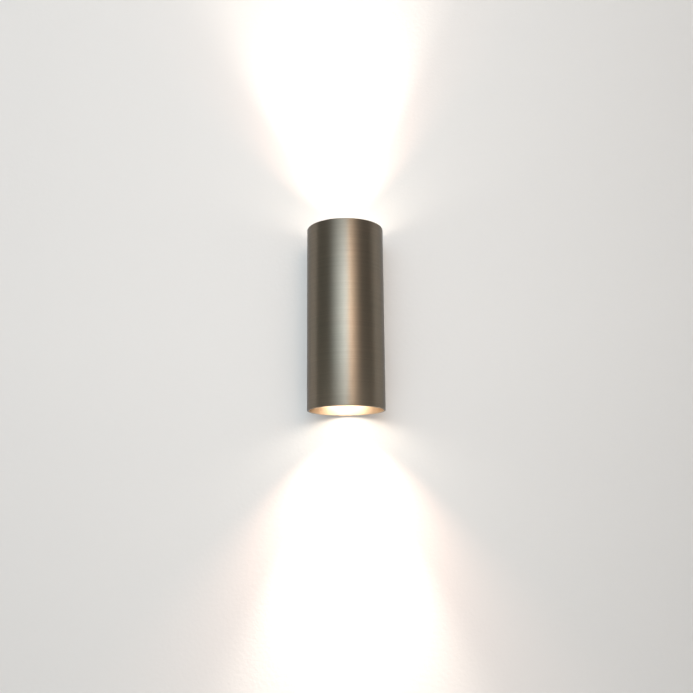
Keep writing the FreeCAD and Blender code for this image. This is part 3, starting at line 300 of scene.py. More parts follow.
# %% Helpers that make meshes
def rounded(corners, size, steps=4):
    """Corners as points. A corner with one number more than its size has an arc of that radius."""
    points = []
    for index, corner in enumerate(corners):
        here = Vector(corner[:size])
        if len(corner) == size:
            points.append(here)
            continue
        back = (Vector(corners[index - 1][:size]) - here).normalized()
        ahead = (Vector(corners[(index + 1) % len(corners)][:size]) - here).normalized()
        half, radius = back.angle(ahead) / 2, corner[size]
        centre = here + (back + ahead).normalized() * radius / math.sin(half)
        start = (here + back * radius / math.tan(half) - centre).normalized()
        stop = (here + ahead * radius / math.tan(half) - centre).normalized()
        points += [centre + start.slerp(stop, step / steps) * radius for step in range(steps + 1)]
    return points


def rounded_profile(corners, steps=4):
    """Corners (radius, height) or (radius, height, rounding) as the points of a profile."""
    return rounded(corners, 2, steps)


def spin(made, points, place, sides=64, closed=False, relief=None):
    """Adds the points (radius, height), spun round Z and put in place, to a bmesh. A relief takes a
    radius, a height and a turn, and gives the radius and the height that the point has there instead."""
    rings = []
    for point in points:
        if point[0] < 1e-4:
            height = relief(0, point[1], 0)[1] if relief else point[1]
            rings.append([made.verts.new(place @ Vector((0, 0, height)))] * sides)
            continue
        ring = []
        for side in range(sides):
            turn = 2 * math.pi * side / sides
            radius, height = relief(*point, turn) if relief else point
            spot = Vector((radius * math.cos(turn), radius * math.sin(turn), height))
            ring.append(made.verts.new(place @ spot))
        rings.append(ring)
    for low, high in zip(rings, rings[1:] + rings[:1] if closed else rings[1:]):
        for side in range(sides):
            after = (side + 1) % sides
            corners = [low[side], low[after], high[after], high[side]]
            made.faces.new(sorted(set(corners), key=corners.index))
    return made


def prism(made, points, low, high, place):
    """Adds a straight prism over the points (x, y), from one height to another, to a bmesh."""
    ends = [[made.verts.new(place @ Vector((x, y, height))) for x, y in points] for height in (low, high)]
    made.faces.new(reversed(ends[0]))
    made.faces.new(ends[1])
    for index in range(len(points)):
        after = (index + 1) % len(points)
        made.faces.new([ends[0][index], ends[0][after], ends[1][after], ends[1][index]])
    return made


def circle_points(radius, sides=32):
    """Points round a circle."""
    turns = [2 * math.pi * side / sides for side in range(sides)]
    return [(radius * math.cos(turn), radius * math.sin(turn)) for turn in turns]


def round_rectangle(half_width, half_height, corner, steps=6):
    """The outline of a rectangle with rounded corners, anticlockwise."""
    points = []
    for across, up, start in ((1, -1, -90), (1, 1, 0), (-1, 1, 90), (-1, -1, 180)):
        for step in range(steps + 1):
            turn = math.radians(start + 90 * step / steps)
            x = across * (half_width - corner) + corner * math.cos(turn)
            points.append((x, up * (half_height - corner) + corner * math.sin(turn)))
    return points


def finish_mesh(made, name, sharp=32):
    """The bmesh as a mesh, shaded smooth except where its faces meet at more than the sharp angle."""
    bmesh.ops.remove_doubles(made, verts=made.verts, dist=0.001 * MM)
    bmesh.ops.recalc_face_normals(made, faces=made.faces)
    mesh = bpy.data.meshes.new(name)
    made.to_mesh(mesh)
    made.free()
    mesh.shade_smooth()
    mesh.set_sharp_from_angle(angle=math.radians(sharp))
    return mesh


def new_piece(name, data, material):
    """An object with this mesh or curve and material, in the scene."""
    piece = bpy.data.objects.new(name, data)
    data.materials.append(material)
    scene.collection.objects.link(piece)
    return piece


def carve(piece, cutters, sharp=32):
    """Takes each closed bmesh out of a piece, for good."""
    made = []
    for cutter in cutters:
        made.append(bpy.data.objects.new("cutter", finish_mesh(cutter, "cutter")))
        scene.collection.objects.link(made[-1])
        modifier = piece.modifiers.new("cut", "BOOLEAN")
        modifier.object, modifier.solver = made[-1], "EXACT"
    carved = bmesh.new()
    carved.from_object(piece, bpy.context.evaluated_depsgraph_get())
    piece.modifiers.clear()
    material = piece.data.materials[0]
    piece.data = finish_mesh(carved, piece.name, sharp)
    piece.data.materials.append(material)
    for cutter in made:
        bpy.data.objects.remove(cutter)
    return piece


def stand_in(piece, node, body):
    """The piece is shown in place of a CAD node and moves with its body."""
    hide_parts(node)
    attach(piece, body)
    print(f"{piece.name}: stands for {node} and rides on {body}")
    return piece


# %% [markdown]
# ## The tube
# The tube is one wall profile, a thin upright rectangle with rounded corners, spun round the axis in 256
# steps so that its outline stays round up close. The window for the bracket, the side holes for the set
# screws and the countersunk holes in the back are then cut out of it.

# %% The tube's shell
AXIS_MM = AXIS_Y / MM
OUTER, INNER, TOP = TUBE_RADIUS / MM, inner_radius / MM, TUBE_TOP / MM
RIM_ROUND = 0.4
wall_section = rounded_profile(
    [(INNER, -TOP, RIM_ROUND), (OUTER, -TOP, RIM_ROUND), (OUTER, TOP, RIM_ROUND), (INNER, TOP, RIM_ROUND)]
)
shell = spin(bmesh.new(), wall_section, put(0, AXIS_MM, 0), sides=256, closed=True)
tube = new_piece("bronze_tube", finish_mesh(shell, "bronze_tube", sharp=50), bronze)
print("tube shell:", len(tube.data.polygons), "faces")

# %% The tube's openings
TUBE_BACK = AXIS_MM + OUTER
SET_SCREW_Y = AXIS_MM + 6
TAB_SCREW_Z = 52.7
WINDOW_HALF_WIDTH, WINDOW_HALF_HEIGHT, WINDOW_CORNER = 26.5, 43, 6
SIDE_HOLE_RADIUS = 2.05
COUNTERSINK = [(0, -0.5), (3.7, -0.5), (1.55, 1.65), (1.55, 6), (0, 6)]

outline = round_rectangle(WINDOW_HALF_WIDTH, WINDOW_HALF_HEIGHT, WINDOW_CORNER)
window = prism(bmesh.new(), outline, -5, OUTER, put(0, 0, 0, TO_ROOM))
side_hole = circle_points(SIDE_HOLE_RADIUS)
cutters = [window, prism(bmesh.new(), side_hole, -50, 50, put(0, SET_SCREW_Y, 0, TO_RIGHT))]
for height in (TAB_SCREW_Z, -TAB_SCREW_Z):
    cutters.append(spin(bmesh.new(), COUNTERSINK, put(0, TUBE_BACK, height, TO_ROOM), sides=32))
carve(tube, cutters, sharp=50)
stand_in(tube, "tube", "tube")
print("with its openings:", len(tube.data.polygons), "faces")

# %% [markdown]
# ## Plain finishes
# Most other materials differ in their values and not in their make-up. Each has two tones that drift over
# the part, a fine grain, edges that are a little worn and rounded, and some dust on top. So one function
# builds them all from the shared groups.

# %% A function for plain finishes
def finish(
    name, light, dark, rough, grain, depth, edge, worn, metal=0.0, dusty=0.15, tone=70.0, **constant
):
    """A material of two tones, with its range of roughness, its grain per metre and how deep that is, and
    the size and the colour of its worn edges. Sizes are in millimetres."""
    material, tree, shader = new_material(name)
    tones = use(tree, uneven_tone, {"Scale": tone})["Mask"]
    edges = use(tree, soft_edges, {"Size": edge * MM})
    grained = use(tree, fine_grain, {"Scale": grain, "Depth": depth * MM, "Normal": edges["Normal"]})
    colour = blend_colours(tree, tones, rgb(*light), rgb(*dark))
    colour = blend_colours(tree, maths(tree, "MULTIPLY", grained["Mask"], 0.35), colour, rgb(*dark))
    colour = blend_colours(tree, maths(tree, "MULTIPLY", edges["Edge"], 0.6), colour, rgb(*worn))
    settled = use(tree, dust, {"Amount": dusty})["Mask"]
    colour = blend_colours(tree, settled, colour, rgb(0.46, 0.44, 0.41))
    roughness = ramp(tree, grained["Mask"], 0.0, 1.0, *rough)
    roughness = maths(tree, "MULTIPLY_ADD", settled, 0.4, roughness)
    feed(tree, shader, Base_Color=colour, Roughness=roughness, Normal=grained["Normal"])
    feed(tree, shader, Metallic=maths(tree, "SUBTRACT", metal, settled) if metal else 0.0, **constant)
    return material


def coat(nodes, material):
    """Gives CAD nodes a material."""
    for name in nodes:
        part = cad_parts[name]
        for slot in part.material_slots:
            slot.material = material
        if not part.material_slots:
            part.data.materials.append(material)
    print(f"{material.name}: {', '.join(nodes)}")


# %% Finishes of the sheet metal, the screws and the insulators
zinc = finish(
    "Zinc plate", (0.62, 0.63, 0.65), (0.50, 0.51, 0.54), (0.28, 0.42), 1500.0, 0.004,
    0.35, (0.78, 0.78, 0.79), metal=1.0, tone=110.0,
)
black_steel = finish(
    "Black screw steel", (0.055, 0.052, 0.050), (0.030, 0.029, 0.029), (0.34, 0.46), 3000.0, 0.002,
    0.12, (0.30, 0.29, 0.28), metal=1.0, dusty=0.05,
)
bright_steel = finish(
    "Bright screw steel", (0.70, 0.70, 0.71), (0.58, 0.58, 0.60), (0.22, 0.34), 3000.0, 0.002,
    0.12, (0.86, 0.86, 0.86), metal=1.0, dusty=0.08,
)
aluminium = finish(
    "Cast aluminium", (0.76, 0.76, 0.77), (0.64, 0.64, 0.66), (0.36, 0.50), 2200.0, 0.008,
    0.20, (0.88, 0.88, 0.88), metal=1.0, dusty=0.12,
)
tinned = finish(
    "Tinned brass", (0.74, 0.71, 0.63), (0.62, 0.58, 0.48), (0.24, 0.38), 2600.0, 0.002,
    0.10, (0.84, 0.78, 0.62), metal=1.0, dusty=0.05,
)
brass = finish(
    "Plain brass", (0.78, 0.60, 0.30), (0.62, 0.45, 0.20), (0.24, 0.40), 2600.0, 0.003,
    0.12, (0.90, 0.74, 0.42), metal=1.0, dusty=0.05,
)
ceramic = finish(
    "Unglazed ceramic", (0.84, 0.82, 0.76), (0.76, 0.73, 0.66), (0.50, 0.68), 1800.0, 0.012,
    0.40, (0.90, 0.88, 0.84), dusty=0.15,
)
mica = finish(
    "Mica board", (0.66, 0.57, 0.40), (0.50, 0.42, 0.28), (0.30, 0.50), 700.0, 0.015,
    0.15, (0.72, 0.64, 0.48), dusty=0.1, tone=240.0,
)
lamp_plastic = finish(
    "Lamp plastic", (0.80, 0.80, 0.79), (0.74, 0.74, 0.73), (0.38, 0.48), 2400.0, 0.004,
    0.25, (0.86, 0.86, 0.85), dusty=0.1,
)
strip_plastic = finish(
    "Terminal plastic", (0.82, 0.82, 0.79), (0.75, 0.75, 0.71), (0.36, 0.46), 2000.0, 0.004,
    0.20, (0.88, 0.88, 0.86), dusty=0.1, Subsurface_Weight=0.15, Subsurface_Scale=0.002,
)
rubber = finish(
    "Black rubber", (0.030, 0.030, 0.031), (0.022, 0.022, 0.022), (0.55, 0.70), 2600.0, 0.006,
    0.25, (0.06, 0.06, 0.06), dusty=0.25,
)

# %% Finishes on the CAD's own meshes
coat(["wall_bracket", "chassis_strip", "holder_bridge"], zinc)
coat(["terminal_block"], strip_plastic)
coat(["terminal_clamps"], brass)
coat(["earth_ring"], tinned)
coat(["wire_bush"], rubber)
for name in ("upper", "lower"):
    coat([f"{name}_holder_body", f"{name}_holder_face"], ceramic)
    coat([f"{name}_holder_cap"], mica)
    coat([f"{name}_holder_contacts"], tinned)
    coat([f"{name}_lamp_led_board"], aluminium)

# %% [markdown]
# ## The lamps
# Each lamp is a 50 mm reflector lamp. Its plastic foot carries two headed pins, its cast cup has sixteen
# fins that shed the heat, and a moulded lens with a honeycomb of small domes closes its mouth. The fins
# aren't a round profile: between them the rings dip inwards, so they are drawn ring by ring, with the
# same number of points in each.

# %% Where the lamps stand
LAMP_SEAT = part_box("upper_lamp_base")[0].z / MM
LAMP_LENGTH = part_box("upper_lamp_housing")[1].z / MM - LAMP_SEAT
stands = {
    "upper": put(0, AXIS_MM, LAMP_SEAT),
    "lower": put(0, AXIS_MM, -LAMP_SEAT, UPSIDE_DOWN),
}
print(f"lamps {LAMP_LENGTH:.1f} mm long, seated {LAMP_SEAT:.1f} mm from the middle")

# %% Lamp foot and pins
PIN_X = 5
FOOT = [
    (0, 0), (12.2, 0, 0.4), (13, 1.2, 0.5), (13, 9.2, 0.2), (12.5, 9.7, 0.2), (13, 10.2, 0.2),
    (13, 13), (0, 13),
]
PIN = [(0, -7.5), (2.5, -7.5, 0.7), (2.5, -4, 0.3), (1.5, -4, 0.1), (1.5, 0), (0, 0)]
for name, stand in stands.items():
    foot = spin(bmesh.new(), rounded_profile(FOOT), stand, sides=96)
    stand_in(
        new_piece(f"{name}_foot", finish_mesh(foot, "foot"), lamp_plastic),
        f"{name}_lamp_base", f"{name}_lamp",
    )
    pins = bmesh.new()
    for x in (-PIN_X, PIN_X):
        spin(pins, rounded_profile(PIN), stand @ Matrix.Translation((x, 0, 0)), sides=40)
    stand_in(
        new_piece(f"{name}_pins", finish_mesh(pins, "pins"), tinned),
        f"{name}_lamp_pins", f"{name}_lamp",
    )

# %% Finned cup
FIN_COUNT, FIN_GAP, FIN_DEPTH = 16, 2.0, 3.0
CUP_LOW, CUP_FOOT, CUP_RIM, RIM_START = 13, 13.6, 25.0, 39.0
FIN_LOW, FIN_HIGH, FIN_ROWS = 14.5, 37.5, 6
RIM = [(24.6, 38.6), (25, 39.4, 0.4), (25, 47, 0.6), (22.4, 47, 0.3), (22.4, 44.4), (12.7, 26)]


def cup_radius(height):
    """The cup's outer radius, on the cone between its foot and its rim."""
    return CUP_FOOT + (CUP_RIM - CUP_FOOT) * (height - CUP_LOW) / (RIM_START - CUP_LOW)


def cup_ring(made, place, radius, height, sunk):
    """One ring of the cup's outside, dipping between the fins if it is sunk."""
    ring = []
    half = math.asin(FIN_GAP / 2 / (radius - FIN_DEPTH))
    pitch = 2 * math.pi / FIN_COUNT
    for fin in range(FIN_COUNT):
        floor = radius - FIN_DEPTH if sunk else radius
        edge = math.asin(FIN_GAP / 2 / radius) if sunk else half
        columns = [(-edge, radius), (-half, floor), (half, floor), (edge, radius)]
        columns += [(edge + (pitch - 2 * edge) * share, radius) for share in (0.25, 0.5, 0.75)]
        for turn, distance in columns:
            turn += fin * pitch
            spot = Vector((distance * math.cos(turn), distance * math.sin(turn), height))
            ring.append(made.verts.new(place @ spot))
    return ring


def finned_cup(place):
    """The cup's outside with its fins, its rounded rim, its mouth and its bottom."""
    made = bmesh.new()
    rows = [(CUP_FOOT, CUP_LOW, False), (cup_radius(FIN_LOW), FIN_LOW, False)]
    for step in range(FIN_ROWS + 1):
        height = FIN_LOW + (FIN_HIGH - FIN_LOW) * step / FIN_ROWS
        rows.append((cup_radius(height), height, True))
    rows.append((cup_radius(FIN_HIGH), FIN_HIGH, False))
    rows += [(radius, height, False) for radius, height in rounded_profile(RIM)]
    rings = [cup_ring(made, place, *row) for row in rows]
    for low, high in zip(rings, rings[1:]):
        for index in range(len(low)):
            after = (index + 1) % len(low)
            made.faces.new([low[index], low[after], high[after], high[index]])
    made.faces.new(reversed(rings[0]))
    made.faces.new(rings[-1])
    return finish_mesh(made, "cup", sharp=40)


for name, stand in stands.items():
    stand_in(
        new_piece(f"{name}_cup", finned_cup(stand), aluminium),
        f"{name}_lamp_housing", f"{name}_lamp",
    )

# %% Lens
DOME_PITCH, DOME_HEIGHT = 3.0, 0.45
LENS_FACE, LENS_EDGE, RING_STEP = 45.9, 21.15, 0.45
LENS_SIDE = [
    (LENS_EDGE, LENS_FACE), (21.4, 46.4), (22.2, 46.4, 0.2), (22.2, 44.4), (6.5, 29.5), (0, 29.5),
]


def honeycomb(radius, height, turn):
    """Raises a point of the face by its small dome. Every other row of domes is shifted by half a pitch,
    and the domes fade out at the edge."""
    x, y = radius * math.cos(turn), radius * math.sin(turn)
    row_height = DOME_PITCH * math.sqrt(3) / 2
    near = DOME_PITCH
    first = math.floor(y / row_height)
    for row in (first, first + 1):
        shift = DOME_PITCH / 2 * (row % 2)
        centre_x = round((x - shift) / DOME_PITCH) * DOME_PITCH + shift
        near = min(near, math.hypot(x - centre_x, y - row * row_height))
    fade = min(1.0, (LENS_EDGE - radius) / 0.6)
    return radius, height + DOME_HEIGHT * fade * max(0.0, 1 - (near / (DOME_PITCH * 0.56)) ** 2)


glowing_lens, tree, shader = new_material("Glowing lens")
place = use(tree, round_the_axis)
warmth = ramp(tree, place["Radius"], 0.010, 0.0222, 0.0, 1.0)
glow = blend_colours(tree, warmth, rgb(1.0, 0.93, 0.80), rgb(1.0, 0.80, 0.56))
# Painted light and shade: the glow is bright where a dome faces straight out and dark brown on its flanks,
# so that the domes show.
facing = add(tree, "ShaderNodeSeparateXYZ", {0: add(tree, "ShaderNodeNewGeometry").outputs["Normal"]})
painted_crown_light = ramp(tree, maths(tree, "ABSOLUTE", facing.outputs["Z"]), 0.90, 1.0, 0.0, 1.0)
glow = blend_colours(tree, painted_crown_light, rgb(0.12, 0.07, 0.03), glow)
haze = use(tree, fine_grain, {"Scale": 1500.0, "Depth": 0.000003})
resin = blend_colours(tree, haze["Mask"], rgb(0.25, 0.24, 0.22), rgb(0.20, 0.19, 0.18))
feed(
    tree, shader, Base_Color=resin,
    Roughness=ramp(tree, haze["Mask"], 0.0, 1.0, 0.12, 0.22), Normal=haze["Normal"],
    Emission_Color=glow, Emission_Strength=0.85,
)
ring_count = round(LENS_EDGE / RING_STEP)
face = [(RING_STEP * index, LENS_FACE) for index in range(ring_count + 1)]
for name, stand in stands.items():
    lens_mesh = bmesh.new()
    spin(lens_mesh, face, stand, sides=144, relief=honeycomb)
    spin(lens_mesh, rounded_profile(LENS_SIDE), stand, sides=144)
    stand_in(
        new_piece(f"{name}_lens", finish_mesh(lens_mesh, "lens", sharp=60), glowing_lens),
        f"{name}_lamp_optic", f"{name}_lamp",
    )

# %% [markdown]
# ## The light of the lamps
# The lens only looks lit, so that its domes show. A disc of light on its face does the work of its glow
# and lights the tube's rim from inside. Just in front of it a narrow spotlight makes the pool on the wall,
# and a wide, faint and warmer one the halo round the pool. In the photograph the upper pool leans a little
# to the left, because a lamp never sits quite straight in its holder.

# %% Beams
def place_light(light, body, place, tilt):
    """Puts a light in place, unseen itself, and moves it with a body. A tilt of 0 is down, 180 is up."""
    lamp = bpy.data.objects.new(light.name, light)
    lamp.location = place
    lamp.rotation_euler = (0, math.radians(tilt), 0)
    lamp.visible_camera = False
    scene.collection.objects.link(lamp)
    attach(lamp, body)


def beam(name, body, place, tilt, width, power, colour):
    """A soft-edged spotlight."""
    light = bpy.data.lights.new(name, "SPOT")
    light.energy, light.color = power, colour
    light.spot_size, light.spot_blend = math.radians(width), 1.0
    light.shadow_soft_size = 3 * MM
    place_light(light, body, place, tilt)


def face_glow(name, body, place, tilt, power, colour):
    """A disc of light as wide as the lens."""
    light = bpy.data.lights.new(name, "AREA")
    light.shape, light.size = "DISK", 2 * LENS_EDGE * MM
    light.energy, light.color = power, colour
    place_light(light, body, place, tilt)


LAMP_END = LAMP_SEAT + LAMP_LENGTH
UPPER_LEAN = -4
aims = {"upper": (1, 180 + UPPER_LEAN, 88, 2.8), "lower": (-1, 0, 98, 4.7)}
for name, (side, tilt, width, power) in aims.items():
    face = AXIS + Vector((0, 0, side * (LAMP_END + 0.1) * MM))
    front = AXIS + Vector((0, 0, side * (LAMP_END + 2) * MM))
    body = f"{name}_lamp"
    beam(f"{name}_core", body, front, tilt, 61, 13.0, (1.0, 0.90, 0.80))
    beam(f"{name}_halo", body, front, tilt, width, power, (1.0, 0.62, 0.47))
    face_glow(f"{name}_glow", body, face, tilt, 0.066, (1.0, 0.91, 0.80))
    print(f"{name} beams at {front.z / MM:.1f} mm")

# %% [markdown]
# ## Screws, rivets and bushes
# A screw is one spun profile too. Its thread is a true helix: round the shank each point sinks towards
# the root of the thread by how far it has turned and risen, so the ridge climbs one pitch per turn. The
# slots and the six-sided sockets are cut afterwards.

# %% A function for screws
def screw_mesh(made, place, thread, length, head, pitch, threaded):
    """A screw whose head rests at its own height 0 and whose shank points down. The head is a profile,
    and the last part of the shank, as long as asked, is threaded."""
    depth = 0.54 * pitch

    def helix(radius, height, turn):
        """The shank's radius at a height and turn, fading to full at both ends of the thread."""
        if not -length <= height <= -length + threaded:
            return radius, height
        phase = (height / pitch - turn / (2 * math.pi)) % 1
        fade = min(1.0, (height + length) / pitch, (threaded - length - height) / pitch)
        return radius - depth * abs(2 * phase - 1) * fade, height

    steps = round(threaded / pitch * 6)
    shank = [(thread, -length + threaded * step / steps) for step in range(steps + 1)]
    tip = [(0, -length), (thread - depth, -length)]
    spin(made, rounded_profile(tip + shank + head, 3), place, sides=32, relief=helix)


def cheese_head(thread, radius, height):
    """The profile of a low cylindrical head with a rounded top edge."""
    return [(thread, 0), (radius, 0, 0.1), (radius, height, 0.35), (0, height)]


def slot_cutter(place, radius, top, width, depth):
    """A closed bmesh that cuts a screwdriver slot."""
    corners = [(-radius, -width / 2), (radius, -width / 2), (radius, width / 2), (-radius, width / 2)]
    return prism(bmesh.new(), corners, top - depth, top + 1, place)


def socket_cutter(place, across, top, depth):
    """A closed bmesh that cuts a six-sided socket with a conical floor."""
    corner, bottom = across / math.sqrt(3), top - depth
    outline = [(0, bottom - 0.4), (corner, bottom), (corner, top + 1), (0, top + 1)]
    return spin(bmesh.new(), outline, place, sides=6)


# %% The set screws and the strip's screws
SET_SCREW_LENGTH = 12.5
SET_SCREW_SEAT = OUTER - 0.4
made, cutters = bmesh.new(), []
for side, turn in ((1, TO_RIGHT), (-1, TO_LEFT)):
    stand = put(side * SET_SCREW_SEAT, SET_SCREW_Y, 0, turn)
    screw_mesh(made, stand, 2.0, SET_SCREW_LENGTH, [(2.0, 0, 0.3), (0, 0)], 0.7, SET_SCREW_LENGTH - 0.6)
    cutters.append(socket_cutter(stand, 2.0, 0, 2.0))
screws = carve(new_piece("headless_screws", finish_mesh(made, "screws"), black_steel), cutters)
stand_in(screws, "set_screws", "tube")

made, cutters = bmesh.new(), []
TAB_SCREW_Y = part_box("chassis_screws")[1].y / MM
COUNTERSUNK = [(1.5, -1.4), (2.9, 0, 0.1), (0, 0)]
for height in (TAB_SCREW_Z, -TAB_SCREW_Z):
    stand = put(0, TAB_SCREW_Y, height, TO_WALL)
    screw_mesh(made, stand, 1.5, 5.5, COUNTERSUNK, 0.5, 3.8)
    cutters.append(socket_cutter(stand, 2.0, 0, 1.2))
screws = carve(new_piece("countersunk_screws", finish_mesh(made, "screws"), black_steel), cutters)
stand_in(screws, "chassis_screws", "tube")

# %% The screws of the lampholders
HOLDER_SCREW_Y, HOLDER_SCREW_REST, HOLDER_SCREW_LENGTH = 10, 26.8, 20.8
for name, side, turn in (("upper", 1, UPRIGHT), ("lower", -1, UPSIDE_DOWN)):
    made, cutters = bmesh.new(), []
    for across in (-HOLDER_SCREW_Y, HOLDER_SCREW_Y):
        stand = put(0, AXIS_MM + across, side * HOLDER_SCREW_REST, turn)
        screw_mesh(made, stand, 1.5, HOLDER_SCREW_LENGTH, cheese_head(1.5, 2.75, 2.0), 0.5, 4.0)
        cutters.append(slot_cutter(stand, 3.5, 2.0, 0.8, 1.0))
    screws = carve(new_piece(f"{name}_slotted_screws", finish_mesh(made, "screws"), bright_steel), cutters)
    stand_in(screws, f"{name}_holder_screws", "tube")

# %% The screws of the terminal block
TERMINAL_Z, POLE_PITCH, CLAMP_Z = 20, 8, 2.5
low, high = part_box("terminal_screws")
bottom = (low.y - high.y) / MM
clamp_screw = rounded_profile([(0, bottom), (1.25, bottom), (1.25, 0, 0.2), (0, 0)])
made, cutters = bmesh.new(), []
for x in (-POLE_PITCH, 0, POLE_PITCH):
    for height in (TERMINAL_Z - CLAMP_Z, TERMINAL_Z + CLAMP_Z):
        stand = put(x, high.y / MM, height, TO_WALL)
        spin(made, clamp_screw, stand, sides=32)
        cutters.append(slot_cutter(stand, 2, 0, 0.5, 0.7))
screws = carve(new_piece("clamp_screws", finish_mesh(made, "screws"), bright_steel), cutters)
stand_in(screws, "terminal_screws", "tube")

low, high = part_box("terminal_block_screws")
made, cutters = bmesh.new(), []
for x in (-POLE_PITCH / 2, POLE_PITCH / 2):
    stand = put(x, high.y / MM - 1.4, TERMINAL_Z, TO_WALL)
    screw_mesh(made, stand, 1.25, (high.y - low.y) / MM - 1.4, cheese_head(1.25, 2.1, 1.4), 0.45, 4.0)
    cutters.append(slot_cutter(stand, 3, 1.4, 0.6, 0.8))
screws = carve(new_piece("block_screws", finish_mesh(made, "screws"), bright_steel), cutters)
stand_in(screws, "terminal_block_screws", "tube")

# %% The earth screw
low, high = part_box("earth_screw")
EARTH_Z = (low.z + high.z) / 2 / MM
stand = put(0, high.y / MM - 2.6, EARTH_Z, TO_WALL)
made = bmesh.new()
screw_mesh(made, stand, 2.0, (high.y - low.y) / MM - 2.6, cheese_head(2.0, 3.5, 2.6), 0.7, 3.2)
cutters = [slot_cutter(stand, 5, 2.6, 1.0, 1.2)]
screws = carve(new_piece("slotted_earth_screw", finish_mesh(made, "screws"), bright_steel), cutters)
stand_in(screws, "earth_screw", "tube")

# %% Rivets and the cable bush
low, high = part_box("bridge_rivets")
GRIP, RIVET_X = (high.y - low.y) / MM - 2, 12.8
DOME = [(0, 0), (2.35, 0), (2.4, 0.15, 0.1), (2.25, 0.5, 0.3), (1.4, 0.9, 0.8), (0, 1)]
made = bmesh.new()
for x in (-RIVET_X, RIVET_X):
    back, front = put(x, high.y / MM - 1, 0, TO_WALL), put(x, low.y / MM + 1, 0, TO_ROOM)
    for stand in (back, front):
        spin(made, rounded_profile(DOME, 3), stand, 40)
    spin(made, [(0, 0), (1.6, 0), (1.6, -GRIP), (0, -GRIP)], back, 32)
rivets = new_piece("domed_rivets", finish_mesh(made, "rivets"), aluminium)
stand_in(rivets, "bridge_rivets", "tube")

BUSH = [(4.2, 0, 0.3), (5.9, 0, 0.3), (5.9, 1.5, 0.1), (8, 1.5, 0.3), (8, 3, 0.7), (4.2, 3, 0.7)]
CABLE_Z = (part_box("cable_bush")[0].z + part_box("cable_bush")[1].z) / 2 / MM
bush = spin(bmesh.new(), rounded_profile(BUSH), put(0, 0, CABLE_Z, TO_ROOM), 96, closed=True)
bush = new_piece("rubber_bush", finish_mesh(bush, "bush"), rubber)
stand_in(bush, "cable_bush", "bracket")

# %% [markdown]
# ## Wires
# A wire starts as a curve with a round section. It follows the bends that a stiff wire takes between a
# lampholder and the terminal block, with every corner eased by an arc. The curve is then turned into a
# mesh, so that its end caps can be merged with its skin. Brown is live, blue is neutral and the earth wire
# is green with a yellow stripe along it.

# %% Wire insulation
brown = finish(
    "Brown insulation", (0.20, 0.095, 0.045), (0.15, 0.070, 0.035), (0.30, 0.42), 1800.0, 0.002,
    0.05, (0.24, 0.12, 0.07), dusty=0.1,
)
blue = finish(
    "Blue insulation", (0.035, 0.12, 0.34), (0.025, 0.09, 0.27), (0.30, 0.42), 1800.0, 0.002,
    0.05, (0.07, 0.16, 0.40), dusty=0.1,
)
striped, tree, shader = new_material("Striped insulation")
spot = add(tree, "ShaderNodeTexCoord").outputs["Object"]
across = add(tree, "ShaderNodeSeparateXYZ", {0: spot}).outputs["X"]
stripe = ramp(tree, across, 0.10 * MM, 0.16 * MM, 0.0, 1.0)
speck = use(tree, fine_grain, {"Scale": 1800.0, "Depth": 0.002 * MM})
tint = blend_colours(tree, stripe, rgb(0.045, 0.26, 0.075), rgb(0.78, 0.62, 0.06))
feed(
    tree, shader, Base_Color=tint, Roughness=ramp(tree, speck["Mask"], 0.0, 1.0, 0.30, 0.42),
    Normal=speck["Normal"],
)


# %% The wires
def wire(name, node, corners, material):
    """A round wire of 2 mm through corners (x, distance behind the tube's axis, z, rounding)."""
    curve = bpy.data.curves.new(name, "CURVE")
    curve.dimensions, curve.bevel_depth, curve.bevel_resolution = "3D", 1.0 * MM, 6
    curve.use_fill_caps = True
    points = rounded(corners, 3, steps=8)
    line = curve.splines.new("POLY")
    line.points.add(len(points) - 1)
    for place, point in zip(line.points, points):
        place.co = (*((point + Vector((0, AXIS_MM, 0))) * MM), 1)
    line.use_smooth = True
    swept = bpy.data.objects.new(name, curve)
    skin = swept.to_mesh()
    made = bmesh.new()
    made.from_mesh(skin)
    swept.to_mesh_clear()
    bpy.data.objects.remove(swept)
    stand_in(new_piece(name, finish_mesh(made, name), material), node, "tube")


CLAMP_END = 15.5
for sign, pole, insulation in ((-1, "live", brown), (1, "neutral", blue)):
    upper = [
        (sign * PIN_X, 0, 11), (sign * PIN_X, 0, 2.2, 3), (sign * PIN_X, 22, 2.2, 4),
        (sign * POLE_PITCH, 25.6, 7.2, 5), (sign * POLE_PITCH, 25.6, CLAMP_END),
    ]
    lower = [
        (sign * PIN_X, 0, -11), (sign * PIN_X, 0, -2.2, 3), (sign * PIN_X, 24, -2.2, 4),
        (sign * POLE_PITCH, 28.4, 4.2, 5), (sign * POLE_PITCH, 28.4, CLAMP_END),
    ]
    wire(f"upper_{pole}", f"upper_{pole}_wire", upper, insulation)
    wire(f"lower_{pole}", f"lower_{pole}_wire", lower, insulation)
earth = [(0, 27, CLAMP_END), (0, 27, -3, 6), (0, 21.2, -9, 5), (0, 21.2, -13)]
wire("earth", "earth_wire", earth, striped)

# %% [markdown]
# ## The room
# The light hangs on a plain pale wall over a plain pale floor. Both are stage, not part of the object.
# Seen from behind, the wall would hide everything, so its paint is clear from the back. Both throw no
# shadow and no bounced light, so the object looks the same without them.
#
# Brushed metal shows what stands round it. The photograph's tube is dark but for its bright band, so the
# room in front of it is dim and the light comes from the sides of the camera. The world here does the
# same: a soft grey towards the room, and paler above, below and behind the wall.

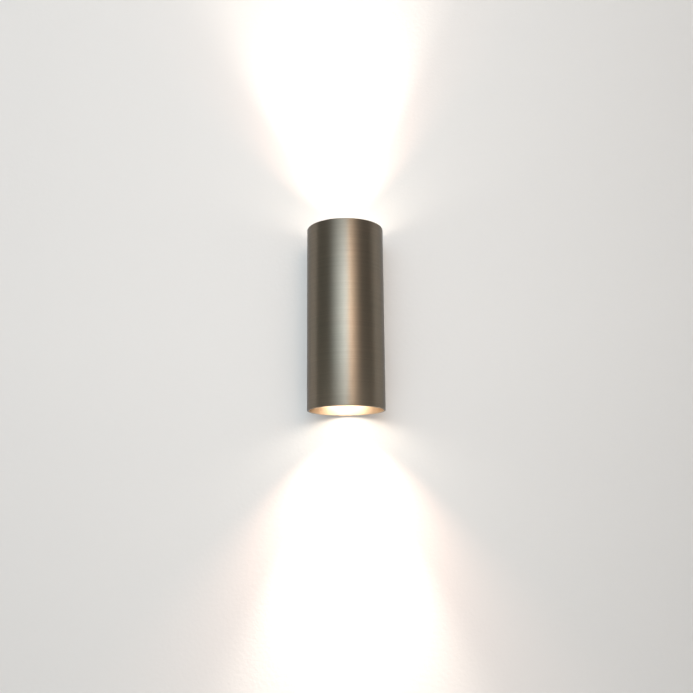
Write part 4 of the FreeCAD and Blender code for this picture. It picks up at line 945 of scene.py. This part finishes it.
# %% The world
world = bpy.data.worlds.new("Soft room")
scene.world = world
world.use_nodes = True
tree = world.node_tree
tree.nodes.clear()
direction = add(tree, "ShaderNodeTexCoord").outputs["Generated"]
towards = add(tree, "ShaderNodeSeparateXYZ", {0: direction}).outputs
to_room = ramp(tree, towards["Y"], 0.0, 0.30, 1.0, 0.0)
off_level = maths(tree, "ABSOLUTE", maths(tree, "SUBTRACT", towards["Z"], 0.15))
level = ramp(tree, off_level, 0.40, 0.80, 1.0, 0.0)
to_right = ramp(tree, towards["X"], -0.4, 0.4, 0.0, 1.0)
dim = blend_colours(tree, to_right, rgb(0.215, 0.230, 0.218), rgb(0.240, 0.222, 0.204))
tone = blend_colours(tree, maths(tree, "MULTIPLY", to_room, level), rgb(0.80, 0.80, 0.79), dim)
background = add(tree, "ShaderNodeBackground", {"Color": tone, "Strength": 1.0})
add(tree, "ShaderNodeOutputWorld", {"Surface": background.outputs[0]})
print("world:", world.name)

# %% The wall and the floor
def stage_paint(name, colour, glow, fade):
    """Matt paint that its own background light keeps pale, and that is clear from the back. The light
    fades a little towards the right, the left and the bottom, as the room's does in the photograph."""
    material, tree, shader = new_material(name)
    spot = add(tree, "ShaderNodeTexCoord").outputs["Object"]
    nap = {"Height": noise(tree, spot, 260.0, 3.0), "Distance": 0.3 * MM, "Strength": 0.5}
    bump = add(tree, "ShaderNodeBump", nap).outputs["Normal"]
    feed(tree, shader, Base_Color=colour, Roughness=0.85, Specular_IOR_Level=0.2, Normal=bump)
    rays = add(tree, "ShaderNodeLightPath").outputs
    seen = maths(tree, "MAXIMUM", rays["Is Camera Ray"], rays["Is Glossy Ray"])
    seen = maths(tree, "MAXIMUM", seen, rays["Is Transmission Ray"])
    place = add(tree, "ShaderNodeSeparateXYZ", {0: spot}).outputs
    right_loss = ramp(tree, place["X"], 0.02, 0.36, 0.0, 0.24)
    left_loss = ramp(tree, place["X"], -0.36, -0.08, 0.06, 0.0)
    low_loss = ramp(tree, place["Z"], -0.40, 0.0, 0.08, 0.0)
    loss = maths(tree, "ADD", maths(tree, "ADD", right_loss, left_loss), low_loss)
    shine = maths(tree, "SUBTRACT", glow, maths(tree, "MULTIPLY", loss, fade))
    feed(tree, shader, Emission_Color=colour, Emission_Strength=maths(tree, "MULTIPLY", seen, shine))
    clear = add(tree, "ShaderNodeBsdfTransparent").outputs[0]
    behind = add(tree, "ShaderNodeNewGeometry").outputs["Backfacing"]
    painted = tree.nodes["Principled BSDF"].outputs[0]
    both = add(tree, "ShaderNodeMixShader", {0: behind, 1: painted, 2: clear}).outputs[0]
    tree.links.new(both, tree.nodes["Material Output"].inputs["Surface"])
    return material


def stage_sheet(name, corners, material):
    """A flat sheet of stage between four corners."""
    mesh = bpy.data.meshes.new(name)
    mesh.from_pydata(corners, [], [(0, 1, 2, 3)])
    sheet = new_piece(name, mesh, material)
    sheet.visible_shadow = False
    sheet.visible_diffuse = False
    return sheet


WALL_Y, FLOOR_Z, REACH = 0.0004, -0.62, 4.0
wall_paint = stage_paint("Wall paint", rgb(0.634, 0.613, 0.589), 0.29, 1.0)
floor_paint = stage_paint("Floor paint", rgb(0.66, 0.655, 0.64), 0.45, 0.0)
around = [(-REACH, -REACH), (REACH, -REACH), (REACH, REACH), (-REACH, REACH)]
wall = stage_sheet("wall", [(x, WALL_Y, max(z, FLOOR_Z)) for x, z in around], wall_paint)
floor = stage_sheet("floor", [(x, y, FLOOR_Z) for x, y in around], floor_paint)
print("stage:", wall.name, "and", floor.name)

# %% [markdown]
# ## The studio lights
# Two large soft lights stand left and right of the camera. The left one is cool and the right one warm.
# Together they draw the bright band down the tube, cool beside warm, and each throws a faint shadow of
# the tube on the wall, tinted by the other.

# %% Two large soft lights
def soft_light(name, azimuth, elevation, distance, width, height, colour, power, side, fall):
    """An area light that faces the tube from a bearing, in degrees to the right of the way into the room.
    It is brightest at its right edge (side 1) or left edge (side 0) and fades to nothing at the other."""
    across, up = math.radians(azimuth), math.radians(elevation)
    bearing = Vector((math.sin(across) * math.cos(up), -math.cos(across) * math.cos(up), math.sin(up)))
    light = bpy.data.lights.new(name, "AREA")
    light.shape = "RECTANGLE"
    light.size, light.size_y = width, height
    light.color, light.energy = colour, power
    light.use_nodes = True
    tree = light.node_tree
    spot = add(tree, "ShaderNodeNewGeometry").outputs["Parametric"]
    along = add(tree, "ShaderNodeSeparateXYZ", {0: spot}).outputs["X"]
    share = ramp(tree, along, 1 - side, side, 0.0, 1.0)
    tree.links.new(maths(tree, "POWER", share, fall), tree.nodes["Emission"].inputs["Strength"])
    lamp = bpy.data.objects.new(name, light)
    lamp.location = AXIS + bearing * distance
    lamp.rotation_euler = bearing.to_track_quat("Z", "Y").to_euler()
    scene.collection.objects.link(lamp)
    return lamp


soft_light(
    "cool_light", azimuth=-18.5, elevation=14, distance=2.3, width=2.4, height=1.4,
    colour=(0.72, 0.87, 1.0), power=78, side=1, fall=1.5,
)
soft_light(
    "warm_light", azimuth=36, elevation=14, distance=2.3, width=2.0, height=1.4,
    colour=(1.0, 0.80, 0.66), power=72, side=0, fall=3.0,
)
print("lights: cool_light and warm_light")

# %% [markdown]
# ## The camera
# The photograph was taken from a little below the light and a little to its right, looking up. The lens
# and the place of the camera were fitted to the tube's edges and rims in the photograph, 693 pixels wide.

# %% The camera
IMAGE_WIDTH = 693
FOCAL_PIXELS = 857
YAW, PITCH, ROLL = math.radians(-3.08), math.radians(11.80), math.radians(-0.47)
CAMERA_PLACE = Vector((0.04425, -0.8485, -0.1969))

level_right = Vector((math.cos(YAW), -math.sin(YAW), 0))
level_ahead = Vector((math.sin(YAW), math.cos(YAW), 0))
ahead = level_ahead * math.cos(PITCH) + Vector((0, 0, math.sin(PITCH)))
over = Vector((0, 0, math.cos(PITCH))) - level_ahead * math.sin(PITCH)
right = level_right * math.cos(ROLL) + over * math.sin(ROLL)
over = over * math.cos(ROLL) - level_right * math.sin(ROLL)

lens = bpy.data.cameras.new("camera")
lens.sensor_width = 36
lens.lens = FOCAL_PIXELS / IMAGE_WIDTH * lens.sensor_width
camera = bpy.data.objects.new("camera", lens)
turned = Matrix((right, over, -ahead)).transposed().to_4x4()
camera.matrix_world = Matrix.Translation(CAMERA_PLACE) @ turned
scene.collection.objects.link(camera)
scene.camera = camera
scene.view_settings.view_transform = "Standard"
print(f"camera: {lens.lens:.1f} mm lens, {(CAMERA_PLACE - AXIS).length:.2f} m from the tube")

# %% The end
print("scene set")
